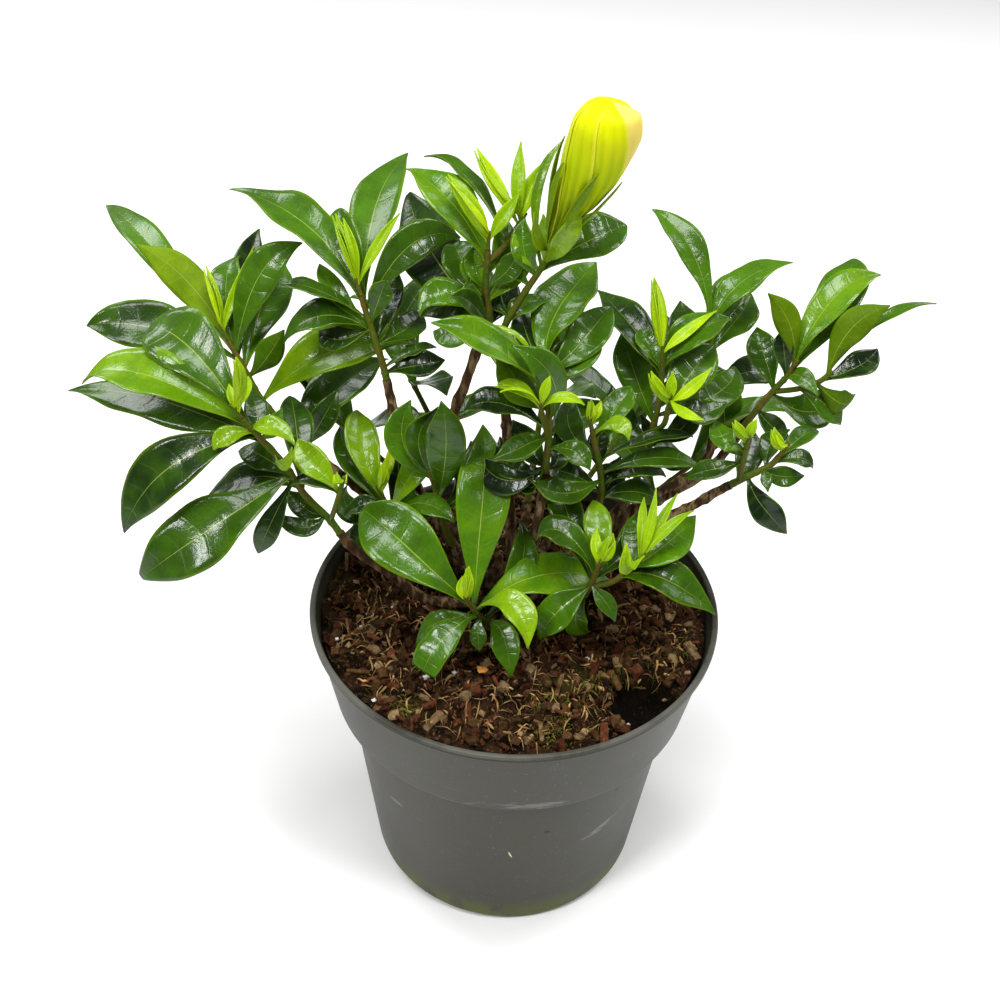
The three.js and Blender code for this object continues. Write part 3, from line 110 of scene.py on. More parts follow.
def leaf(root, by, tip, far, wide, turn, tone=None, cut=False):
    seen = {"root": root, "by": by, "tip": tip}
    return {**seen, "far": far, "wide": wide, "turn": turn, "tone": tone, "cut": cut}


def twig(start, path):
    return {"start": start, "path": path}


def shoot(name, wood, green, leaves, twigs=()):
    return {"name": name, "wood": wood, "green": green, "twigs": list(twigs), "leaves": leaves}


def young(name, on, leaves, on_twig=None):
    return {"name": name, "on": on, "on_twig": on_twig, "leaves": leaves}


def back_shoot(name, tip, via, bearing, seed):
    return {"name": name, "tip": tip, "via": via, "bearing": bearing, "seed": seed}


SHOOTS = [
    shoot(
        "front_left",
        wood=[(430, 600, -8), (390, 573, -14), (350, 545, -18)],
        green=[(330, 520, -20), (305, 495, -22), (285, 465, -24), (262, 440, -26), (242, 418, -28)],
        twigs=[twig((330, 522), [(336, 505, -27), (341, 488, -30)])],
        leaves=[
            leaf((236, 412), (190, 348), (148, 328), 10, 25, 8, 0.36),
            leaf((238, 414), (150, 377), (78, 378), 0, 21, 38, 0.76),
            leaf((262, 440), (172, 404), (66, 387), 25, 20, 30, 0.25),
            leaf((248, 424), (228, 436), (213, 450), -6, 9, 20, 0.95),
            leaf((246, 420), (270, 428), (297, 443), -6, 12, -35, 0.95),
            leaf((258, 434), (172, 466), (119, 535), 6, 20, 22, 0.12),
            leaf((290, 478), (215, 526), (136, 580), -6, 24, 20, 0.27),
            leaf((300, 490), (250, 478), (196, 503), 8, 15, 40, 0.2),
            leaf((290, 480), (270, 525), (258, 555), 8, 9, 0, 0.12),
            leaf((325, 516), (305, 528), (272, 512), -4, 8, 20),
            leaf((275, 455), (284, 465), (292, 447), -6, 7, 0, 0.95),
            leaf((262, 436), (272, 428), (282, 408), 8, 13, 20),
            leaf((341, 492), (314, 464), (297, 438), -1, 11, 10, 0.95),
            leaf((341, 494), (318, 480), (288, 483), -2, 9, 35),
        ],
    ),
    shoot(
        "back_left",
        wood=[(455, 560, 4), (400, 520, 10), (345, 478, 16)],
        green=[(300, 440, 20), (262, 400, 25), (246, 372, 28), (228, 340, 31)],
        leaves=[
            leaf((226, 342), (152, 247), (106, 206), 72, 14, 20, 0.5),
            leaf((234, 354), (190, 284), (139, 247), 10, 14.5, 179, 0.75),
            leaf((234, 352), (152, 328), (84, 324), -18, 20, 30, 0.18),
            leaf((230, 344), (226, 290), (238, 252), 10, 13, -20, 0.4),
            leaf((228, 343), (256, 282), (302, 241), -13, 15, -17, 0.4),
            leaf((240, 362), (262, 305), (284, 263), 30, 21, -10),
            leaf((248, 376), (268, 356), (283, 330), -4, 13, 190),
            leaf((232, 348), (245, 285), (259, 227), 24, 13, 0),
            leaf((262, 400), (332, 352), (415, 337), -6, 22, -32, 0.85),
            leaf((298, 438), (336, 392), (386, 351), 12, 23, -38),
            leaf((306, 446), (322, 420), (338, 389), -10, 10, 0, 0.15),
        ],
    ),
    shoot(
        "upper_left",
        wood=[(450, 540, 8), (402, 450, 12), (390, 395, 18)],
        green=[(383, 365, 20), (370, 325, 23), (361, 296, 25)],
        leaves=[
            leaf((362, 298), (306, 226), (229, 190), 22, 19, 35, 0.4),
            leaf((364, 302), (374, 215), (408, 154), 52, 20, -33, 0.45),
            leaf((363, 300), (408, 247), (461, 237), -12, 14, -9, 0.35),
            leaf((366, 312), (334, 290), (320, 262), 4, 8, 18),
            leaf((366, 310), (316, 290), (280, 283), -4, 9, 55),
            leaf((372, 328), (325, 316), (279, 340), -2, 15, 45, 0.2),
            leaf((366, 310), (380, 296), (387, 280), -10, 9, 0, 0.3),
            leaf((363, 300), (346, 245), (338, 206), 11, 12, 0),
            leaf((384, 368), (412, 352), (437, 345), 1, 8, -60),
            leaf((388, 385), (418, 366), (445, 360), -4, 15, -30),
            leaf((377, 345), (405, 330), (420, 312), 16, 12, -20),
        ],
    ),
    shoot(
        "centre_left",
        wood=[(470, 600, 4), (434, 568, 4)],
        green=[(410, 540, 3), (393, 516, 2), (383, 498, 1)],
        leaves=[
            leaf((384, 500), (362, 446), (358, 408), 10, 14, 15, 0.85),
            leaf((388, 508), (414, 470), (437, 442), -11, 11, -2, 0.8),
            leaf((386, 504), (352, 462), (340, 424), 14, 10, 0),
            leaf((388, 510), (425, 504), (455, 523), -19, 11, -40, 0.3),
            leaf((385, 502), (364, 505), (344, 517), -2, 10, 30, 0.08),
            leaf((392, 518), (366, 530), (352, 553), 1, 13, 20, 0.08),
        ],
    ),
    shoot(
        "centre_low",
        wood=[(498, 596, 4), (462, 560, 4)],
        green=[(446, 530, 3), (438, 500, 2), (430, 470, 2)],
        leaves=[
            leaf((438, 500), (446, 450), (441, 403), -32, 16, -10, 0.3),
            leaf((430, 476), (418, 440), (440, 409), -9, 12, 20, 0.3),
            leaf((432, 478), (402, 440), (411, 400), -8, 14, 8),
            leaf((440, 510), (470, 480), (470, 440), -7, 14, -20),
            leaf((440, 512), (410, 505), (392, 470), 4, 12, -16),
        ],
    ),
    shoot(
        "top_centre",
        wood=[(490, 590, 10), (455, 410, 12), (463, 390, 12), (472, 364, 12), (480, 342, 11)],
        green=[(489, 322, 10), (486, 290, 10), (488, 250, 10)],
        twigs=[twig((487, 262), [(503, 248, 12), (515, 230, 14)])],
        leaves=[
            leaf((489, 322), (440, 265), (405, 192), 26, 24, -8, 0.1),
            leaf((487, 262), (453, 206), (407, 163), 0, 17, 30, 0.65),
            leaf((506, 242), (466, 178), (424, 153), 12, 9, 60, 0.35),
            leaf((487, 288), (476, 270), (475, 243), -3, 9, 10),
            leaf((487, 286), (508, 270), (520, 246), -8, 12, -10),
            leaf((488, 312), (472, 300), (470, 277), -9, 9, 0),
            leaf((488, 318), (446, 293), (417, 315), -8, 11, 22),
            leaf((489, 322), (470, 303), (452, 296), -30, 8, 30),
            leaf((487, 300), (462, 262), (452, 240), 11, 14, 0),
            leaf((489, 320), (455, 335), (432, 330), -2, 13, 22),
        ],
    ),
    shoot(
        "flower_shoot",
        wood=[(512, 560, 6), (505, 400, 6)],
        green=[(500, 340, 6), (520, 300, 6), (540, 270, 6), (548, 256, 6)],
        leaves=[
            leaf((531, 262), (537, 192), (564, 139), -7, 3.6, -4, 0.72),
            leaf((536, 276), (524, 250), (524, 217), -6, 9, 0),
            leaf((541, 268), (592, 240), (627, 225), 4, 21, -24, 0.4),
            leaf((504, 330), (520, 308), (549, 299), -2, 9, -40),
            leaf((502, 340), (525, 330), (547, 318), 7, 12, -30),
            leaf((510, 318), (482, 290), (462, 268), 52, 15, 2),
        ],
    ),
    shoot(
        "centre",
        wood=[(525, 575, -4), (543, 490, -6)],
        green=[(547, 455, -8), (549, 430, -9), (548, 395, -8), (546, 358, -6)],
        twigs=[twig((549, 440), [(545, 426, -15), (542, 413, -19)])],
        leaves=[
            leaf((548, 400), (500, 352), (433, 319), -32, 16, 56, 0.6),
            leaf((548, 392), (510, 350), (470, 331), 0, 12, 20, 1),
            leaf((549, 410), (520, 385), (498, 352), 0, 13, 200),
            leaf((549, 420), (552, 378), (512, 345), -25, 12, 20, 0.4),
            leaf((546, 360), (560, 308), (598, 257), 14, 21, -28, 0.55),
            leaf((548, 396), (562, 365), (571, 333), 2, 11, 0, 0.8),
            leaf((548, 438), (525, 446), (493, 459), -6, 12, 30, 0.35),
            leaf((549, 432), (500, 404), (463, 410), 2, 13, 40, 0.1),
            leaf((547, 372), (585, 338), (612, 304), 9, 15, -10),
            leaf((547, 380), (580, 360), (598, 328), 4, 11, -20),
            leaf((547, 450), (575, 452), (590, 470), -8, 12, -20),
            leaf((546, 362), (528, 340), (520, 310), 10, 12, 28),
        ],
    ),
    shoot(
        "centre_right",
        wood=[(545, 590, 0), (585, 530, 0)],
        green=[(600, 500, -1), (600, 470, -2), (592, 430, -4)],
        leaves=[
            leaf((593, 434), (618, 424), (630, 440), -8, 8, -30, 1),
            leaf((594, 440), (616, 410), (631, 386), 4, 11, -20, 0.5),
            leaf((598, 460), (650, 440), (694, 436), 0, 8, -55, 0.12),
            leaf((600, 475), (655, 458), (705, 467), -4, 11, -45, 0.2),
            leaf((600, 486), (636, 468), (668, 475), -4, 11, -40, 0.2),
            leaf((600, 492), (570, 474), (545, 470), 4, 11, 30, 0.15),
            leaf((600, 498), (634, 492), (664, 502), 0, 14, -30),
            leaf((597, 458), (570, 430), (575, 395), 12, 12, 10),
            leaf((600, 480), (562, 494), (530, 480), -11, 12, 30, 0.25),
        ],
    ),
    shoot(
        "right",
        wood=[(545, 570, 8), (610, 520, 8)],
        green=[(645, 460, 8), (654, 425, 9), (661, 390, 10), (662, 362, 10)],
        twigs=[twig((652, 432), [(664, 424, 4), (668, 408, 2)])],
        leaves=[
            leaf((654, 425), (634, 372), (621, 333), 0, 14, 15, 0.4),
            leaf((662, 368), (690, 335), (732, 316), 2, 14, -20, 0.4),
            leaf((666, 418), (690, 375), (718, 342), 1, 18, -10),
            leaf((660, 396), (696, 412), (727, 402), 0, 11, -30, 0.25),
            leaf((656, 416), (715, 395), (737, 362), 14, 14, -20),
            leaf((662, 366), (648, 345), (641, 327), 5, 8, 18),
            leaf((661, 376), (635, 332), (598, 290), 16, 15, 30),
            leaf((648, 448), (670, 462), (690, 455), 6, 11, -30),
            leaf((650, 440), (622, 420), (612, 385), 12, 12, 10),
        ],
    ),
    shoot(
        "upper_right",
        wood=[(560, 570, 14), (645, 500, 18), (700, 468, 24), (713, 440, 27)],
        green=[(713, 400, 29), (711, 360, 30), (709, 318, 31)],
        leaves=[
            leaf((709, 320), (692, 252), (652, 208), 2, 12.5, 32, 0.52),
            leaf((709, 322), (740, 284), (793, 263), 0, 13.5, -35, 0.52),
            leaf((711, 352), (735, 322), (751, 294), 12, 14, -10, 0.3),
            leaf((712, 380), (690, 340), (680, 300), 14, 15, 10),
            leaf((712, 392), (750, 372), (775, 380), 12, 15, -30),
            leaf((711, 345), (725, 300), (745, 270), 24, 14, 0),
        ],
    ),
    shoot(
        "far_right",
        wood=[(580, 560, 20), (650, 505, 26), (702, 475, 30), (730, 446, 28)],
        green=[(755, 412, 26), (772, 392, 25), (788, 375, 24), (797, 360, 24)],
        twigs=[twig((772, 392), [(802, 388, 22), (822, 380, 20), (832, 371, 20)])],
        leaves=[
            leaf((796, 362), (790, 325), (768, 293), -12, 10, 190, 0.55),
            leaf((797, 361), (830, 303), (883, 270), 0, 15, -28, 0.66),
            leaf((796, 362), (838, 300), (851, 253), 14, 19, -18, 0.4),
            leaf((774, 390), (764, 355), (757, 327), 2, 16, 0, 0.25),
            leaf((786, 377), (784, 350), (783, 329), -8, 8, 0),
            leaf((782, 382), (800, 376), (818, 396), -10, 9, -20),
            leaf((830, 373), (850, 330), (890, 306), -9, 12, 187, 0.5),
            leaf((830, 373), (880, 322), (937, 303), 6, 5.5, -50, 0.4),
            leaf((826, 377), (856, 368), (877, 349), 8, 11, -20, 0.08),
            leaf((800, 389), (825, 405), (840, 425), 7, 15, -20),
            leaf((772, 394), (805, 412), (838, 402), 12, 22, -20),
            leaf((820, 381), (842, 404), (855, 394), 12, 11, 190),
            leaf((758, 410), (770, 425), (790, 440), 6, 12, -20),
        ],
    ),
    shoot(
        "lower_right",
        wood=[(570, 590, 6), (645, 528, 0), (690, 507, -3), (720, 490, -5)],
        green=[(740, 480, -6), (757, 472, -6), (772, 464, -6), (779, 456, -6)],
        twigs=[twig((740, 481), [(742, 464, -10), (746, 448, -12)])],
        leaves=[
            leaf((778, 458), (800, 438), (820, 430), 13, 8, -25, 0.3),
            leaf((776, 460), (800, 458), (815, 468), 0, 8, -30),
            leaf((746, 450), (734, 446), (724, 452), -5, 8, 30),
            leaf((762, 470), (766, 478), (768, 492), -4, 10, 0),
            leaf((748, 477), (764, 508), (787, 534), 4, 11, 10, 0.04),
            leaf((744, 462), (712, 470), (683, 477), 6, 9, 30, 0.15),
            leaf((766, 467), (770, 445), (790, 430), 8, 11, -20),
            leaf((745, 456), (724, 440), (716, 418), 10, 11, 20),
        ],
    ),
    shoot(
        "front",
        wood=[(505, 622, -14)],
        green=[(495, 625, -24), (480, 616, -31), (470, 604, -36)],
        leaves=[
            leaf((473, 607), (482, 505), (483, 424), 6, 21, 6, 0.6),
            leaf((472, 606), (408, 548), (362, 508), 2, 25, 6, 0.42),
            leaf((476, 611), (540, 576), (609, 579), 18, 19, -30, 0.65),
            leaf((474, 608), (514, 606), (528, 649), -10, 12, -20, 0.97),
            leaf((476, 612), (446, 636), (421, 672), -10, 13, 15, 0.4, cut=True),
            leaf((480, 617), (440, 622), (414, 646), 0, 10, 30),
            leaf((480, 616), (478, 634), (480, 652), -2, 9, 0, 0.3),
            leaf((488, 622), (504, 638), (511, 679), -8, 12, 0, 0.45),
            leaf((484, 620), (520, 570), (521, 520), 4, 12, 8, 0.3),
        ],
    ),
    shoot(
        "front_right",
        wood=[(545, 622, -10)],
        green=[(572, 608, -20), (588, 590, -26), (597, 570, -29)],
        twigs=[twig((590, 586), [(612, 582, -30), (634, 564, -31)])],
        leaves=[
            leaf((595, 574), (562, 532), (534, 538), 0, 14, 25, 0.3),
            leaf((594, 578), (568, 515), (552, 470), 15, 13, 0, 0.15),
            leaf((596, 572), (598, 530), (593, 500), 8, 11, 0, 0.8),
            leaf((632, 566), (662, 548), (698, 514), 12, 16, -12, 0.62),
            leaf((628, 570), (632, 545), (628, 517), 10, 8, 0),
            leaf((616, 580), (660, 578), (718, 614), 2, 16, -30, 0.3),
            leaf((592, 584), (604, 600), (616, 622), 0, 7, 0, 0.25),
            leaf((590, 587), (560, 610), (536, 640), 4, 15, 15),
            leaf((586, 592), (575, 620), (590, 632), 10, 14, -10),
            leaf((594, 576), (636, 540), (650, 505), 14, 14, -10),
        ],
    ),
]

NEW_GROWTH = [
    young(
        "front_left_growth", on="front_left",
        leaves=[
            leaf(None, (240, 382), (236, 357), -15, 6.5, 0),
            leaf(None, (232, 398), (229, 384), 2, 5, 20),
            leaf(None, (246, 392), (248, 376), 4, 5, -20),
        ],
    ),
    young(
        "low_left_growth", on="front_left", on_twig=0,
        leaves=[
            leaf(None, (338, 480), (337, 472), 0, 4, 0),
            leaf(None, (344, 482), (347, 474), 2, 4, 0),
        ],
    ),
    young(
        "back_left_growth", on="back_left",
        leaves=[
            leaf(None, (216, 298), (206, 266), 0, 5, 18),
            leaf(None, (232, 300), (254, 246), 4, 5, 0),
        ],
    ),
    young(
        "upper_left_growth", on="upper_left",
        leaves=[
            leaf(None, (348, 250), (335, 213), 0, 6, 0),
            leaf(None, (354, 252), (343, 218), -4, 6, -30),
            leaf(None, (376, 248), (400, 213), 4, 5.5, -10),
        ],
    ),
    young(
        "centre_left_growth", on="centre_left",
        leaves=[
            leaf(None, (383, 478), (384, 461), -6, 5.5, 0),
            leaf(None, (389, 464), (392, 442), 4, 5.5, 0),
        ],
    ),
    young(
        "top_growth", on="top_centre",
        leaves=[
            leaf(None, (474, 212), (448, 174), -4, 8, 10),
            leaf(None, (503, 218), (519, 194), -4, 7, -10),
        ],
    ),
    young(
        "top_side_growth", on="top_centre", on_twig=0,
        leaves=[
            leaf(None, (498, 188), (477, 148), 2, 6.5, 10),
            leaf(None, (518, 185), (521, 141), -2, 7, 0),
            leaf(None, (530, 192), (550, 156), 1, 8, -10),
        ],
    ),
    young(
        "centre_growth", on="centre", on_twig=0,
        leaves=[
            leaf(None, (520, 388), (497, 384), -4, 6, 30),
            leaf(None, (562, 398), (585, 405), -4, 6, -30),
            leaf(None, (545, 390), (550, 376), -4, 5, 0),
        ],
    ),
    young(
        "centre_right_growth", on="centre_right",
        leaves=[
            leaf(None, (591, 412), (591, 399), 0, 4.5, 0),
            leaf(None, (597, 412), (601, 401), -2, 4.5, 0),
        ],
    ),
    young(
        "right_growth", on="right",
        leaves=[
            leaf(None, (659, 315), (654, 277), 0, 8, 0),
            leaf(None, (684, 334), (717, 310), 4, 6, -20),
        ],
    ),
    young(
        "right_side_growth", on="right", on_twig=0,
        leaves=[
            leaf(None, (660, 390), (651, 371), -7, 5.5, 0),
            leaf(None, (671, 388), (673, 372), -4, 5.5, 0),
            leaf(None, (690, 390), (712, 367), -4, 6.5, -20),
            leaf(None, (684, 414), (704, 420), -8, 6, -30),
        ],
    ),
    young(
        "lower_right_growth", on="lower_right",
        leaves=[
            leaf(None, (778, 442), (774, 427), -2, 6, 0),
        ],
    ),
    young(
        "lower_right_side_growth", on="lower_right", on_twig=0,
        leaves=[
            leaf(None, (741, 432), (735, 420), -2, 5, 0),
            leaf(None, (751, 430), (757, 419), -2, 5, 0),
        ],
    ),
    young(
        "front_growth", on="front",
        leaves=[
            leaf(None, (468, 584), (469, 566), -6, 6, 0),
            leaf(None, (461, 590), (463, 576), 2, 5, 0),
        ],
    ),
    young(
        "front_right_growth", on="front_right",
        leaves=[
            leaf(None, (606, 552), (613, 533), 0, 9, -10),
            leaf(None, (596, 548), (597, 528), 3, 6, 10),
        ],
    ),
    young(
        "front_right_side_growth", on="front_right", on_twig=0,
        leaves=[
            leaf(None, (626, 566), (628, 543), -10, 11, 30),
            leaf(None, (642, 525), (644, 497), 5, 5, 0),
            leaf(None, (650, 528), (656, 488), -2, 5, 0),
            leaf(None, (658, 526), (678, 493), 6, 5, 0),
            leaf(None, (664, 532), (694, 510), 2, 6, -20),
        ],
    ),
]

BACK_SHOOTS = [
    back_shoot("back_far_left", tip=(-88, 56, 200), via=(-36, 36, 160), bearing=60, seed=322),
    back_shoot("back_middle_left", tip=(-56, 75, 219), via=(-19, 33, 165), bearing=30, seed=35),
    back_shoot("back_middle", tip=(11, 66, 215), via=(5, 39, 169), bearing=40, seed=400),
    back_shoot("back_middle_right", tip=(60, 78, 198), via=(24, 36, 167), bearing=80, seed=257),
    back_shoot("back_far_right", tip=(92, 65, 182), via=(45, 37, 156), bearing=130, seed=238),
]

# small dark leaves inside the plant, on the shoots that the names say
INNER_LEAVES = {
    "front_left": [
        leaf((290, 478), (262, 456), (236, 447), 6, 12, 15, 0.25),
        leaf((262, 436), (257, 414), (250, 388), 6, 9, 10, 0.2),
        leaf((322, 518), (305, 508), (286, 490), 4, 12, 0, 0.2),
        leaf((300, 495), (296, 430), (290, 396), 16, 13, 20, 0.1),
    ],
    "centre_left": [
        leaf((384, 520), (352, 512), (344, 484), 4, 10, 0, 0.15),
        leaf((386, 515), (398, 470), (402, 440), 8, 11, 10, 0.05),
    ],
    "upper_left": [
        leaf((372, 345), (386, 305), (399, 270), 10, 11, 0, 0.08),
        leaf((365, 330), (340, 340), (318, 330), 4, 11, 20, 0.12),
    ],
    "top_centre": [
        leaf((485, 320), (452, 306), (420, 317), 4, 10, 20, 0.12),
        leaf((488, 275), (503, 246), (507, 218), 2, 8, 0, 0.6),
        leaf((488, 300), (512, 272), (521, 246), -6, 10, 10, 0.75),
        leaf((486, 300), (474, 272), (475, 246), -6, 10, -10, 0.7),
        leaf((488, 330), (505, 300), (512, 276), 6, 10, 0, 0.15),
    ],
    "flower_shoot": [
        leaf((528, 285), (516, 272), (506, 262), 2, 8, 0, 0.4),
        leaf((550, 262), (563, 240), (580, 200), -19, 8, 20, 1.0),
        leaf((548, 266), (546, 240), (543, 214), -12, 6, -10, 1.0),
        leaf((540, 272), (524, 250), (520, 226), -4, 9, 10, 0.8),
    ],
    "centre": [
        leaf((545, 480), (530, 448), (512, 418), 8, 11, 0, 0.1),
        leaf((546, 490), (558, 458), (556, 428), 8, 10, 10, 0.12),
        leaf((545, 510), (530, 488), (521, 456), 8, 11, 0, 0.06),
        leaf((540, 520), (504, 480), (476, 452), 12, 13, 0, 0.04),
        leaf((542, 515), (514, 470), (500, 436), 14, 11, 20, 0.08),
    ],
    "centre_right": [
        leaf((590, 470), (598, 448), (598, 424), 6, 9, 0, 0.12),
        leaf((592, 500), (610, 482), (621, 456), 6, 11, 0, 0.06),
        leaf((591, 480), (606, 470), (630, 478), 2, 9, 0, 0.1),
    ],
    "right": [
        leaf((662, 450), (652, 438), (640, 414), 4, 10, 0, 0.12),
        leaf((664, 445), (682, 428), (696, 402), 6, 10, 0, 0.1),
    ],
    "lower_right": [
        leaf((735, 484), (748, 460), (752, 428), 6, 11, 0, 0.12),
        leaf((760, 470), (780, 476), (806, 476), 0, 10, 0, 0.2),
    ],
}

# ---------------------------------------------------------------- lines of sight and curves


def mix(a, b, t):
    return a + (b - a) * t


def smooth(low, high, t):
    part = np.clip((t - low) / (high - low), 0, 1)
    return part * part * (3 - 2 * part)


def unit(v):
    return v / np.linalg.norm(v, axis=-1, keepdims=True)


def sight_line(across, down):
    """The line of sight through a point of the picture, one metre deep."""
    a = (across - PICTURE_MIDDLE) / FOCAL
    b = (PICTURE_MIDDLE - down) / FOCAL
    x = math.cos(HEAD_TILT) * a - math.sin(HEAD_TILT) * b
    y = math.sin(HEAD_TILT) * a + math.cos(HEAD_TILT) * b
    return LOOK + x * LOOK_RIGHT + y * LOOK_UP


def seen_on_plane(place):
    """The point seen at a place in the picture, that many mm behind the pot's middle."""
    line = sight_line(place[0], place[1])
    return EYE + line * (place[2] * MM - EYE[1]) / line[1]


def seen_at_depth(place, depth):
    return EYE + sight_line(*place) * depth


def depth_of(point):
    return float(np.dot(point - EYE, LOOK))


def place_of(points):
    """Where points are seen in the picture."""
    away = points - EYE
    depth = away @ LOOK
    x = away @ LOOK_RIGHT / depth
    y = away @ LOOK_UP / depth
    across = PICTURE_MIDDLE + FOCAL * (math.cos(HEAD_TILT) * x + math.sin(HEAD_TILT) * y)
    down = PICTURE_MIDDLE - FOCAL * (math.cos(HEAD_TILT) * y - math.sin(HEAD_TILT) * x)
    return np.stack((across, down), axis=-1)


class Path:
    """A smooth curve through points, read by the share of its length."""

    STEPS = 24

    def __init__(self, points):
        p = [np.asarray(q, float) for q in points]
        p = [2 * p[0] - p[1], *p, 2 * p[-1] - p[-2]]
        samples = []
        for i in range(1, len(p) - 2):
            samples += [self.between(p[i - 1 : i + 3], k / self.STEPS) for k in range(self.STEPS)]
        samples.append(p[-2])
        self.points = np.array(samples)
        steps = np.linalg.norm(np.diff(self.points, axis=0), axis=1)
        self.lengths = np.concatenate(([0], np.cumsum(steps)))
        self.length = self.lengths[-1]
        self.knots = self.lengths[:: self.STEPS] / self.length

    @staticmethod
    def between(p, t):
        """A point of a centripetal spline between the middle two of four points."""
        gaps = [math.sqrt(float(np.linalg.norm(p[k + 1] - p[k]))) or 1 for k in range(3)]
        start = (p[1] - p[0]) / gaps[0] - (p[2] - p[0]) / (gaps[0] + gaps[1]) + (p[2] - p[1]) / gaps[1]
        end = (p[2] - p[1]) / gaps[1] - (p[3] - p[1]) / (gaps[1] + gaps[2]) + (p[3] - p[2]) / gaps[2]
        start, end = start * gaps[1], end * gaps[1]
        cubic = 2 * (p[1] - p[2]) + start + end
        square = 3 * (p[2] - p[1]) - 2 * start - end
        return p[1] + t * (start + t * (square + t * cubic))

    def at(self, share):
        share = np.clip(share, 0, 1) * self.length
        return np.stack([np.interp(share, self.lengths, self.points[:, k]) for k in range(3)], axis=-1)

    def way(self, share):
        step = 0.01
        return unit(self.at(min(share + step, 1)) - self.at(max(share - step, 0)))

    def part(self, low, high, count):
        return self.at(np.linspace(low, high, count))


def nearest_on(path, place, low, high):
    """The share of a path's length that is seen nearest to a place, and how near."""
    shares = np.linspace(low, high, 61)
    away = np.linalg.norm(place_of(path.at(shares)) - np.array(place), axis=1)
    best = int(np.argmin(away))
    return shares[best], away[best]


def nearest_axis(place, axes):
    """Which of the axes is seen nearest to a place, and the share of its length there."""
    choices = []
    for k, (path, low, high) in enumerate(axes):
        share, away = nearest_on(path, place, low, high)
        choices.append((away, k, share))
    _, axis, share = min(choices)
    return axis, share


def stem_of(plan):
    points = [CROWN] + [seen_on_plane(p) for p in plan["wood"] + plan["green"]]
    path = Path(points)
    count = len(plan["wood"])
    wood_end = mix(path.knots[count], path.knots[count + 1], 0.5)
    return path, wood_end


def roots_of(leaves, axes):
    """The roots of leaves on their axes: where they are seen, but each a step below the one above it."""
    places = []
    for one in leaves:
        axis, share = nearest_axis(one["root"], axes)
        places.append({"axis": axis, "share": share})
    for k, (path, low, _) in enumerate(axes):
        step = ROOT_STEP / path.length
        ceiling = 1.0
        for place in sorted((p for p in places if p["axis"] == k), key=lambda p: -p["share"]):
            place["share"] = max(low, min(place["share"], ceiling))
            ceiling = place["share"] - step
    return [axes[p["axis"]][0].at(p["share"]) for p in places]


# ---------------------------------------------------------------- making and shaping meshes


def let_go():
    bpy.ops.object.select_all(action="DESELECT")


def hold(piece):
    """Makes a piece the one that is worked on."""
    let_go()
    piece.select_set(True)
    bpy.context.view_layer.objects.active = piece


def open_all():
    """Opens the piece that is worked on for editing, with all of it selected."""
    bpy.ops.object.mode_set(mode="EDIT")
    bpy.ops.mesh.select_all(action="SELECT")


def close():
    """Ends editing."""
    bpy.ops.object.mode_set(mode="OBJECT")


def pick(piece, wanted):
    """Selects the points of a mesh where wanted(point) is true, and opens it for editing."""
    close()
    mesh = piece.data
    for face in mesh.polygons:
        face.select = False
    for edge in mesh.edges:
        edge.select = False
    for point in mesh.vertices:
        point.select = bool(wanted(point.co))
    bpy.ops.object.mode_set(mode="EDIT")


def points_of(mesh):
    co = np.empty(len(mesh.vertices) * 3)
    mesh.vertices.foreach_get("co", co)
    return co.reshape(-1, 3)


def set_points(mesh, co):
    mesh.vertices.foreach_set("co", np.ascontiguousarray(co, dtype=np.float32).ravel())
    mesh.update()


def object_from(mesh, name):
    piece = bpy.data.objects.new(name, mesh)
    bpy.context.scene.collection.objects.link(piece)
    return piece


def joined(pieces, name):
    """Joins pieces into one object with that name."""
    let_go()
    for piece in pieces:
        piece.select_set(True)
    bpy.context.view_layer.objects.active = pieces[0]
    if len(pieces) > 1:
        bpy.ops.object.join()
    pieces[0].name = name
    pieces[0].data.name = name
    return pieces[0]


def finish_with(piece, kind, **settings):
    """Adds a modifier to a piece and applies it."""
    hold(piece)
    modifier = piece.modifiers.new(kind.lower(), kind)
    for key, value in settings.items():
        setattr(modifier, key, value)
    bpy.ops.object.modifier_apply(modifier=modifier.name)


def rounded(piece, levels=1):
    finish_with(piece, "SUBSURF", levels=levels, render_levels=levels)


def smooth_faces(piece, angle=None):
    hold(piece)
    if angle is None:
        bpy.ops.object.shade_smooth()
    else:
        bpy.ops.object.shade_smooth_by_angle(angle=math.radians(angle))


def placed(piece, slot, *nodes):
    """A finished piece: it rides on the plant and stands for its solids; slot is not used."""
    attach(piece, "root")
    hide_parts(*nodes)
    return piece


def mark(mesh, name, value):
    """One value all over a mesh, or one for each of its points."""
    column = mesh.attributes.get(name) or mesh.attributes.new(name, "FLOAT", "POINT")
    values = np.broadcast_to(np.asarray(value, dtype=np.float32), (len(mesh.vertices),))
    column.data.foreach_set("value", np.ascontiguousarray(values))


def tube(path_points, radii, name, sides=10):
    """A round limb along points, with its ends closed."""
    let_go()
    line = bpy.data.curves.new(name, "CURVE")
    line.dimensions = "3D"
    line.bevel_depth = 1.0
    line.bevel_resolution = max(0, sides // 4 - 1)
    line.use_fill_caps = True
    line.resolution_u = 1
    spline = line.splines.new("POLY")
    spline.points.add(len(path_points) - 1)
    for point, place, radius in zip(spline.points, path_points, radii):
        point.co = (*place, 1)
        point.radius = radius
    piece = object_from(line, name)
    piece.select_set(True)
    bpy.context.view_layer.objects.active = piece
    bpy.ops.object.convert(target="MESH")
    return bpy.context.object


# ---------------------------------------------------------------- leaves

LEAF_ROWS = 14
LEAF_COLUMNS = 4
PETIOLE = 1.4 * MM
YOUNG_PETIOLE = 0.9 * MM
TIP_WIDTH = 0.5 * MM
BLADE_THICKNESS = 0.35 * MM
# the width of the roundest leaf, as a share of its length
ROUNDEST = 0.47
